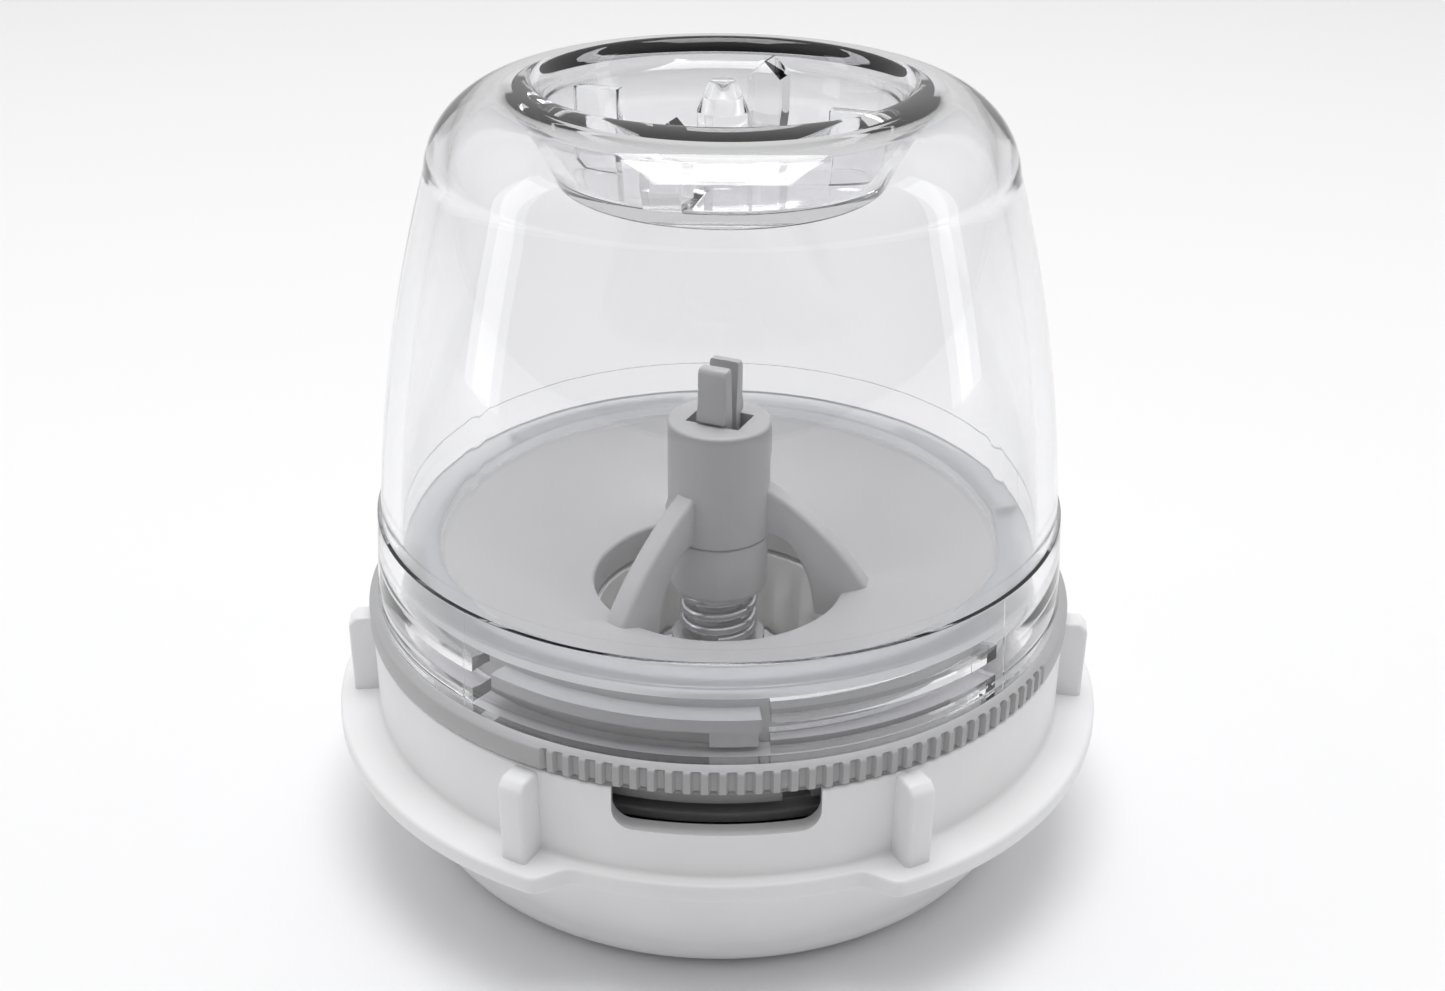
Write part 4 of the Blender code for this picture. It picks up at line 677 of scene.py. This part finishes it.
bowl = turned("base_bowl_fine", bowl_profile())
LINER = reach("collar_liner")
LINER_FOOT, LINER_TOP = foot_of("collar_liner"), top_of("collar_liner")
liner = turned("collar_liner_fine", rounded([(LINER, LINER_TOP, 0.3), (LINER, LINER_FOOT, 0.8),
               (LINER - 20.0, LINER_FOOT, 0.3), (LINER - 20.0, LINER_FOOT + 1.2, 0.3),
               (LINER - 1.2, LINER_FOOT + 1.2, 0.5), (LINER - 1.2, LINER_TOP, 0.3)]))
gasket = turned("jar_gasket_fine", box_section("jar_gasket", 5.7, 0.4))
seal = turned("collar_seal_fine", box_section("collar_seal", 1.8, 0.2))
washer = turned("thrust_washer_fine", box_section("thrust_washer", 3.2, 0.15), 96)
print("bowl, liner, gasket, seal and washer are made")

# %% [markdown]
# The fixed burr is white ceramic, with a smooth throat above and teeth below. Its finish is darkened to grey
# as painted shade for the hole it sits in, where it shows as a pale ring. The teeth are a wave in the radius
# of the lower rows only.

# %% The fixed burr
def burr_shell():
    """Inside radius: the throat's above, and between a tooth's tip and root below, by a 20-fold wave."""
    high = top_of("outer_burr")
    out = reach("outer_burr")
    turn = np.arange(0.0, 360.0, 1.5)
    profile = np.array([(out, high), (out, BURR_FOOT), (17.4, BURR_FOOT), (17.4, -12.6), (17.1, -11.5),
                        (18.1, high)])
    toothed = ((profile[:, 1] < -12.0) & (profile[:, 0] < 18.0))[:, None]
    wave = np.clip(1.5 * np.cos(np.radians(20.0 * turn)), -1.0, 1.0)[None, :]
    radius = profile[:, :1] - toothed * 0.45 * (1.0 + wave)
    return surface("outer_burr_fine", around(turn[None, :], radius, profile[:, 1:2]), close_profile=True)


burr = burr_shell()
print("fixed burr:", len(burr.data.polygons), "faces")

# %% [markdown]
# ## Finishes
# Each finish is a small node tree on a Principled shader. Colours are written as the hex values a screen
# shows and turned to linear light by one function. Patterns read Object coordinates, which are metres
# here, so a pattern's scale is one over its real size.

# %% Helpers for finishes
def linear(code):
    """Linear colour from an sRGB hex code: value / 12.92 when small, else ((value + 0.055) / 1.055) ^ 2.4."""
    value = np.array([int(code[i:i + 2], 16) for i in (1, 3, 5)]) / 255.0
    light = np.where(value <= 0.04045, value / 12.92, ((value + 0.055) / 1.055) ** 2.4)
    return (*light.tolist(), 1.0)


def per(size):
    """The scale of a pattern whose features are this many millimetres across."""
    return 1.0 / (size * MM)


def add(tree, kind, inputs=None, **settings):
    """Add one node with its settings; an input takes a value, or a link if it is given a socket."""
    made = tree.nodes.new(kind)
    for name, value in settings.items():
        setattr(made, name, value)
    for name, value in (inputs or {}).items():
        if isinstance(value, bpy.types.NodeSocket):
            tree.links.new(value, made.inputs[name])
        else:
            made.inputs[name].default_value = value
    return made


def new_finish(name):
    """An empty material, its tree and the socket its surface goes to."""
    made = bpy.data.materials.new(name)
    made.use_nodes = True
    tree = made.node_tree
    tree.nodes.clear()
    output = add(tree, "ShaderNodeOutputMaterial")
    return made, tree, output.inputs["Surface"]


print("sRGB #808080 in linear light is %.3f" % linear("#808080")[0])

# %% [markdown]
# Moulded plastic with a satin surface: the steel mould was spark-eroded, which leaves a grain of a few
# tenths of a millimetre. It shows as a soft, slightly uneven gloss. The colour hardly changes, by a
# percent or two.

# %% Satin moulded plastic
def satin_plastic(name, dark, light, roughness, grain):
    """Colour drifts between two near shades over centimetres; a fine noise drives the grain and the gloss."""
    made, tree, surface_socket = new_finish(name)
    place = add(tree, "ShaderNodeTexCoord").outputs["Object"]
    drift = add(tree, "ShaderNodeTexNoise", {"Vector": place, "Scale": per(18.0), "Detail": 2.0})
    tint = add(tree, "ShaderNodeValToRGB", {"Fac": drift.outputs["Fac"]})
    tint.color_ramp.elements[0].position = 0.35
    tint.color_ramp.elements[0].color = linear(dark)
    tint.color_ramp.elements[1].position = 0.65
    tint.color_ramp.elements[1].color = linear(light)
    fine = add(tree, "ShaderNodeTexNoise", {"Vector": place, "Scale": per(grain), "Detail": 3.0})
    gloss = add(tree, "ShaderNodeMapRange", {"Value": fine.outputs["Fac"], "From Min": 0.3, "From Max": 0.7,
                "To Min": roughness - 0.05, "To Max": roughness + 0.06})
    bump = add(tree, "ShaderNodeBump", {"Height": fine.outputs["Fac"], "Strength": 0.06,
               "Distance": 0.05 * MM})
    shader = add(tree, "ShaderNodeBsdfPrincipled", {"Base Color": tint.outputs["Color"],
                 "Roughness": gloss.outputs["Result"], "Normal": bump.outputs["Normal"], "IOR": 1.5})
    tree.links.new(shader.outputs["BSDF"], surface_socket)
    return made


grey_abs = satin_plastic("grey_moulded_abs", "#aeaeaf", "#b2b2b3", 0.42, 0.35)
white_abs = satin_plastic("white_moulded_abs", "#efeff0", "#f3f3f4", 0.38, 0.35)
# This black finish is partly painted shade: on the liner it stands for the dark hollow behind the collar's
# window.
black_nylon_and_painted_shade = satin_plastic("black_nylon_with_painted_shade", "#0d0d0e", "#141415", 0.6, 0.3)
print("satin plastics:", grey_abs.name, white_abs.name, black_nylon_and_painted_shade.name)

# %% [markdown]
# The jar is clear moulded plastic, near 1.57 in index. Lamps' rays would be blocked by glass and leave
# the inside dark, so rays to lamps see a Transparent shader instead. Slow ripples from the mould bend
# reflections.

# %% Clear plastic
def clear_plastic(name, tint, roughness, ripple, strength):
    """Transmission with a faint ripple; rays to lamps pass through it with a light tint."""
    made, tree, surface_socket = new_finish(name)
    place = add(tree, "ShaderNodeTexCoord").outputs["Object"]
    waves = add(tree, "ShaderNodeTexNoise", {"Vector": place, "Scale": per(ripple), "Detail": 1.0})
    bump = add(tree, "ShaderNodeBump", {"Height": waves.outputs["Fac"], "Strength": strength,
               "Distance": 0.1 * MM})
    shader = add(tree, "ShaderNodeBsdfPrincipled", {"Base Color": linear(tint), "Roughness": roughness,
                 "IOR": 1.57, "Transmission Weight": 1.0, "Normal": bump.outputs["Normal"]})
    open_way = add(tree, "ShaderNodeBsdfTransparent", {"Color": linear("#f4f4f5")})
    shadow = add(tree, "ShaderNodeLightPath").outputs["Is Shadow Ray"]
    mixed = add(tree, "ShaderNodeMixShader", {0: shadow, 1: shader.outputs["BSDF"],
                2: open_way.outputs["BSDF"]})
    tree.links.new(mixed.outputs["Shader"], surface_socket)
    return made


clear_jar = clear_plastic("clear_moulded_san", "#fbfbfc", 0.02, 9.0, 0.10)
clear_silicone = clear_plastic("clear_silicone_rubber", "#eef0f2", 0.28, 2.0, 0.2)
print("clear finishes:", clear_jar.name, clear_silicone.name)

# %% [markdown]
# Steel parts: the spring's wire is drawn bright, and the shaft and washers are turned, which leaves fine
# rings. Turning marks are rings round the axis, so their noise reads only the radius and the height.

# %% Steel, bronze, ceramic and rubber
def turned_metal(name, code, roughness, mark):
    """Noise stretched round the axis: it reads (radius, height), so each mark is a ring."""
    made, tree, surface_socket = new_finish(name)
    place = add(tree, "ShaderNodeSeparateXYZ", {"Vector": add(tree, "ShaderNodeTexCoord").outputs["Object"]})
    flat = add(tree, "ShaderNodeCombineXYZ", {"X": place.outputs["X"], "Y": place.outputs["Y"]})
    radius = add(tree, "ShaderNodeVectorMath", {0: flat.outputs["Vector"]}, operation="LENGTH")
    polar = add(tree, "ShaderNodeCombineXYZ", {"X": radius.outputs["Value"], "Z": place.outputs["Z"]})
    marks = add(tree, "ShaderNodeTexNoise", {"Vector": polar.outputs["Vector"], "Scale": per(mark),
                "Detail": 2.0})
    gloss = add(tree, "ShaderNodeMapRange", {"Value": marks.outputs["Fac"], "From Min": 0.3, "From Max": 0.7,
                "To Min": roughness - 0.06, "To Max": roughness + 0.1})
    bump = add(tree, "ShaderNodeBump", {"Height": marks.outputs["Fac"], "Strength": 0.15,
               "Distance": 0.02 * MM})
    shader = add(tree, "ShaderNodeBsdfPrincipled", {"Base Color": linear(code), "Metallic": 1.0,
                 "Roughness": gloss.outputs["Result"], "Normal": bump.outputs["Normal"]})
    tree.links.new(shader.outputs["BSDF"], surface_socket)
    return made


spring_wire = turned_metal("drawn_spring_steel", "#c9c9cc", 0.16, 0.5)
machined = turned_metal("turned_steel", "#b9b9bc", 0.3, 0.4)
bronze = turned_metal("sintered_bronze", "#a9824f", 0.42, 0.6)
# The ceramic is white; its grey here is painted shade for the burrs deep in the plate's hole.
ceramic = satin_plastic("white_ceramic_darkened_as_painted_shade", "#c3c2c0", "#cac9c7", 0.45, 0.2)
rubber = satin_plastic("black_moulded_rubber", "#0c0c0d", "#121213", 0.75, 0.25)
print("metals and ceramic:", spring_wire.name, machined.name, bronze.name, ceramic.name)

# %% [markdown]
# ## Putting it together
# Each fine piece rides on the body its CAD node belongs to, replaces that node, and is given its finish. The
# remaining CAD nodes are out of sight or small, and keep their shape with a better finish.

# %% Fine pieces on their bodies
def fit(piece, node, body, finish):
    """Give a piece its finish and let it stand for a CAD node."""
    piece.data.materials.clear()
    piece.data.materials.append(finish)
    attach(piece, body)
    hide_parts(node)


fit(jar, "hopper_jar", "jar", clear_jar)
fit(gasket, "jar_gasket", "gasket", clear_silicone)
fit(head, "grinder_body", "base", grey_abs)
fit(holder, "spring_holder", "base", grey_abs)
fit(ring, "grip_ring", "setting_ring", grey_abs)
fit(collar, "drive_collar", "base", white_abs)
fit(bowl, "base_bowl", "base", white_abs)
# The liner's black is painted shade for the hollow seen through the window.
fit(liner, "collar_liner", "base", black_nylon_and_painted_shade)
fit(seal, "collar_seal", "base", rubber)
fit(washer, "thrust_washer", "spring_seat", machined)
fit(burr, "outer_burr", "carrier", ceramic)
fit(spring, "spring", "base", spring_wire)
print("pieces that stand for CAD nodes: 12")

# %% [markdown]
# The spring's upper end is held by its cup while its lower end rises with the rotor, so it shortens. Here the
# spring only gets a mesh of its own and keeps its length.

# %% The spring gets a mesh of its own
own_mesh(spring)

# %% Finishes of the CAD nodes that stay
kept = {"inner_burr": ceramic, "burr_carrier": grey_abs, "burr_clamp": machined, "drive_shaft": machined,
        "burr_clip": spring_wire, "lower_bush": bronze, "shaft_seal": rubber, "drive_coupling": black_nylon_and_painted_shade,
        "coupling_screw": machined}
for number in (1, 2, 3):
    kept["clamp_screw_%d" % number] = machined
    kept["adjuster_pin_%d" % number] = machined
for node, finish in kept.items():
    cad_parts[node].data.materials.clear()
    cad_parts[node].data.materials.append(finish)
print("CAD nodes with a new finish:", len(kept))

# %% [markdown]
# ## Stage
# A wide pale floor fills the view. The sky is white above and behind and dim in front, as before a white
# backdrop: clear plastic shows its form by bending dark and bright surroundings, and in an even white room
# it would vanish. Two upright lamps add soft strips to the jar's sides.

# %% Floor, sky and lamps
def add_floor():
    """One flat square, six metres across, under the foot ring."""
    half = 3.0
    points = np.array([(-half, -half, 0.0), (half, -half, 0.0), (half, half, 0.0), (-half, half, 0.0)])
    points[:, 2] = (TABLE + SEAT) * MM
    mesh = bpy.data.meshes.new("floor")
    mesh.from_pydata(points.tolist(), [], [(0, 1, 2, 3)])
    made = bpy.data.objects.new("floor", mesh)
    bpy.context.scene.collection.objects.link(made)
    finish, tree, surface_socket = new_finish("matt_white_board")
    shader = add(tree, "ShaderNodeBsdfPrincipled", {"Base Color": linear("#f4f4f5"), "Roughness": 0.7})
    tree.links.new(shader.outputs["BSDF"], surface_socket)
    mesh.materials.append(finish)


def add_sky(low, high, behind):
    """Brightness rises with the upward part of the view direction plus a share of its backward part."""
    world = bpy.data.worlds.new("soft_room")
    bpy.context.scene.world = world
    world.use_nodes = True
    tree = world.node_tree
    tree.nodes.clear()
    way = add(tree, "ShaderNodeSeparateXYZ", {"Vector": add(tree, "ShaderNodeTexCoord").outputs["Generated"]})
    up = add(tree, "ShaderNodeMath", {0: way.outputs["Y"], 1: behind, 2: way.outputs["Z"]},
             operation="MULTIPLY_ADD")
    level = add(tree, "ShaderNodeMapRange", {"Value": up.outputs["Value"], "From Min": -0.1, "From Max": 0.7,
                "To Min": low, "To Max": high})
    light = add(tree, "ShaderNodeBackground", {"Color": linear("#ffffff"),
                "Strength": level.outputs["Result"]})
    output = add(tree, "ShaderNodeOutputWorld")
    tree.links.new(light.outputs["Background"], output.inputs["Surface"])


def add_lamp(name, place, aim, size, power):
    """A rectangular soft lamp that faces a point; lengths in metres, power in watts."""
    data = bpy.data.lights.new(name, "AREA")
    data.shape = "RECTANGLE"
    data.size, data.size_y = size
    data.energy = power
    lamp = bpy.data.objects.new(name, data)
    lamp.location = place
    away = lamp.location - type(lamp.location)(aim)
    lamp.rotation_euler = away.to_track_quat("Z", "Y").to_euler()
    bpy.context.scene.collection.objects.link(lamp)


add_floor()
add_sky(0.16, 0.68, 0.7)
add_lamp("overhead", (0.0, 0.1, 1.6), (0.0, 0.0, 0.05), (1.0, 1.0), 14.0)
add_lamp("left_window", (-0.6, -0.06, 0.2), (0.0, 0.0, 0.06), (0.14, 0.6), 0.36)
add_lamp("right_window", (0.6, -0.02, 0.2), (0.0, 0.0, 0.06), (0.12, 0.6), 0.3)
bpy.context.scene.view_settings.view_transform = "Standard"
print("stage: floor, sky and three lamps")

# %% [markdown]
# ## Camera
# The object is seen from the front and a little above, from quite near, so the jar's rim looks much wider
# than its top. The camera's place is given from the axis and the seat.

# %% Camera
VIEW_BACK, VIEW_UP = 222.7, 124.6   # millimetres in front of the axis and above the seat
VIEW_DOWN, VIEW_ROLL = 26.73, 0.524  # degrees
camera_data = bpy.data.cameras.new("camera")
camera_data.sensor_width = 36.0
camera_data.lens = 42.55
camera_data.shift_x = 0.0022
camera_data.clip_start = 0.01
camera = bpy.data.objects.new("camera", camera_data)
camera.location = (0.0, -VIEW_BACK * MM, (SEAT + VIEW_UP) * MM)
camera.rotation_mode = "XYZ"
camera.rotation_euler = (np.radians(90.0 - VIEW_DOWN), 0.0, 0.0)
upright = camera.rotation_euler.to_matrix()
roll = type(upright).Rotation(np.radians(VIEW_ROLL), 3, "Z")
camera.rotation_euler = (upright @ roll).to_euler()
bpy.context.scene.collection.objects.link(camera)
bpy.context.scene.camera = camera
print("camera: lens %.2f mm, pitch %.2f degrees down" % (camera_data.lens, VIEW_DOWN))
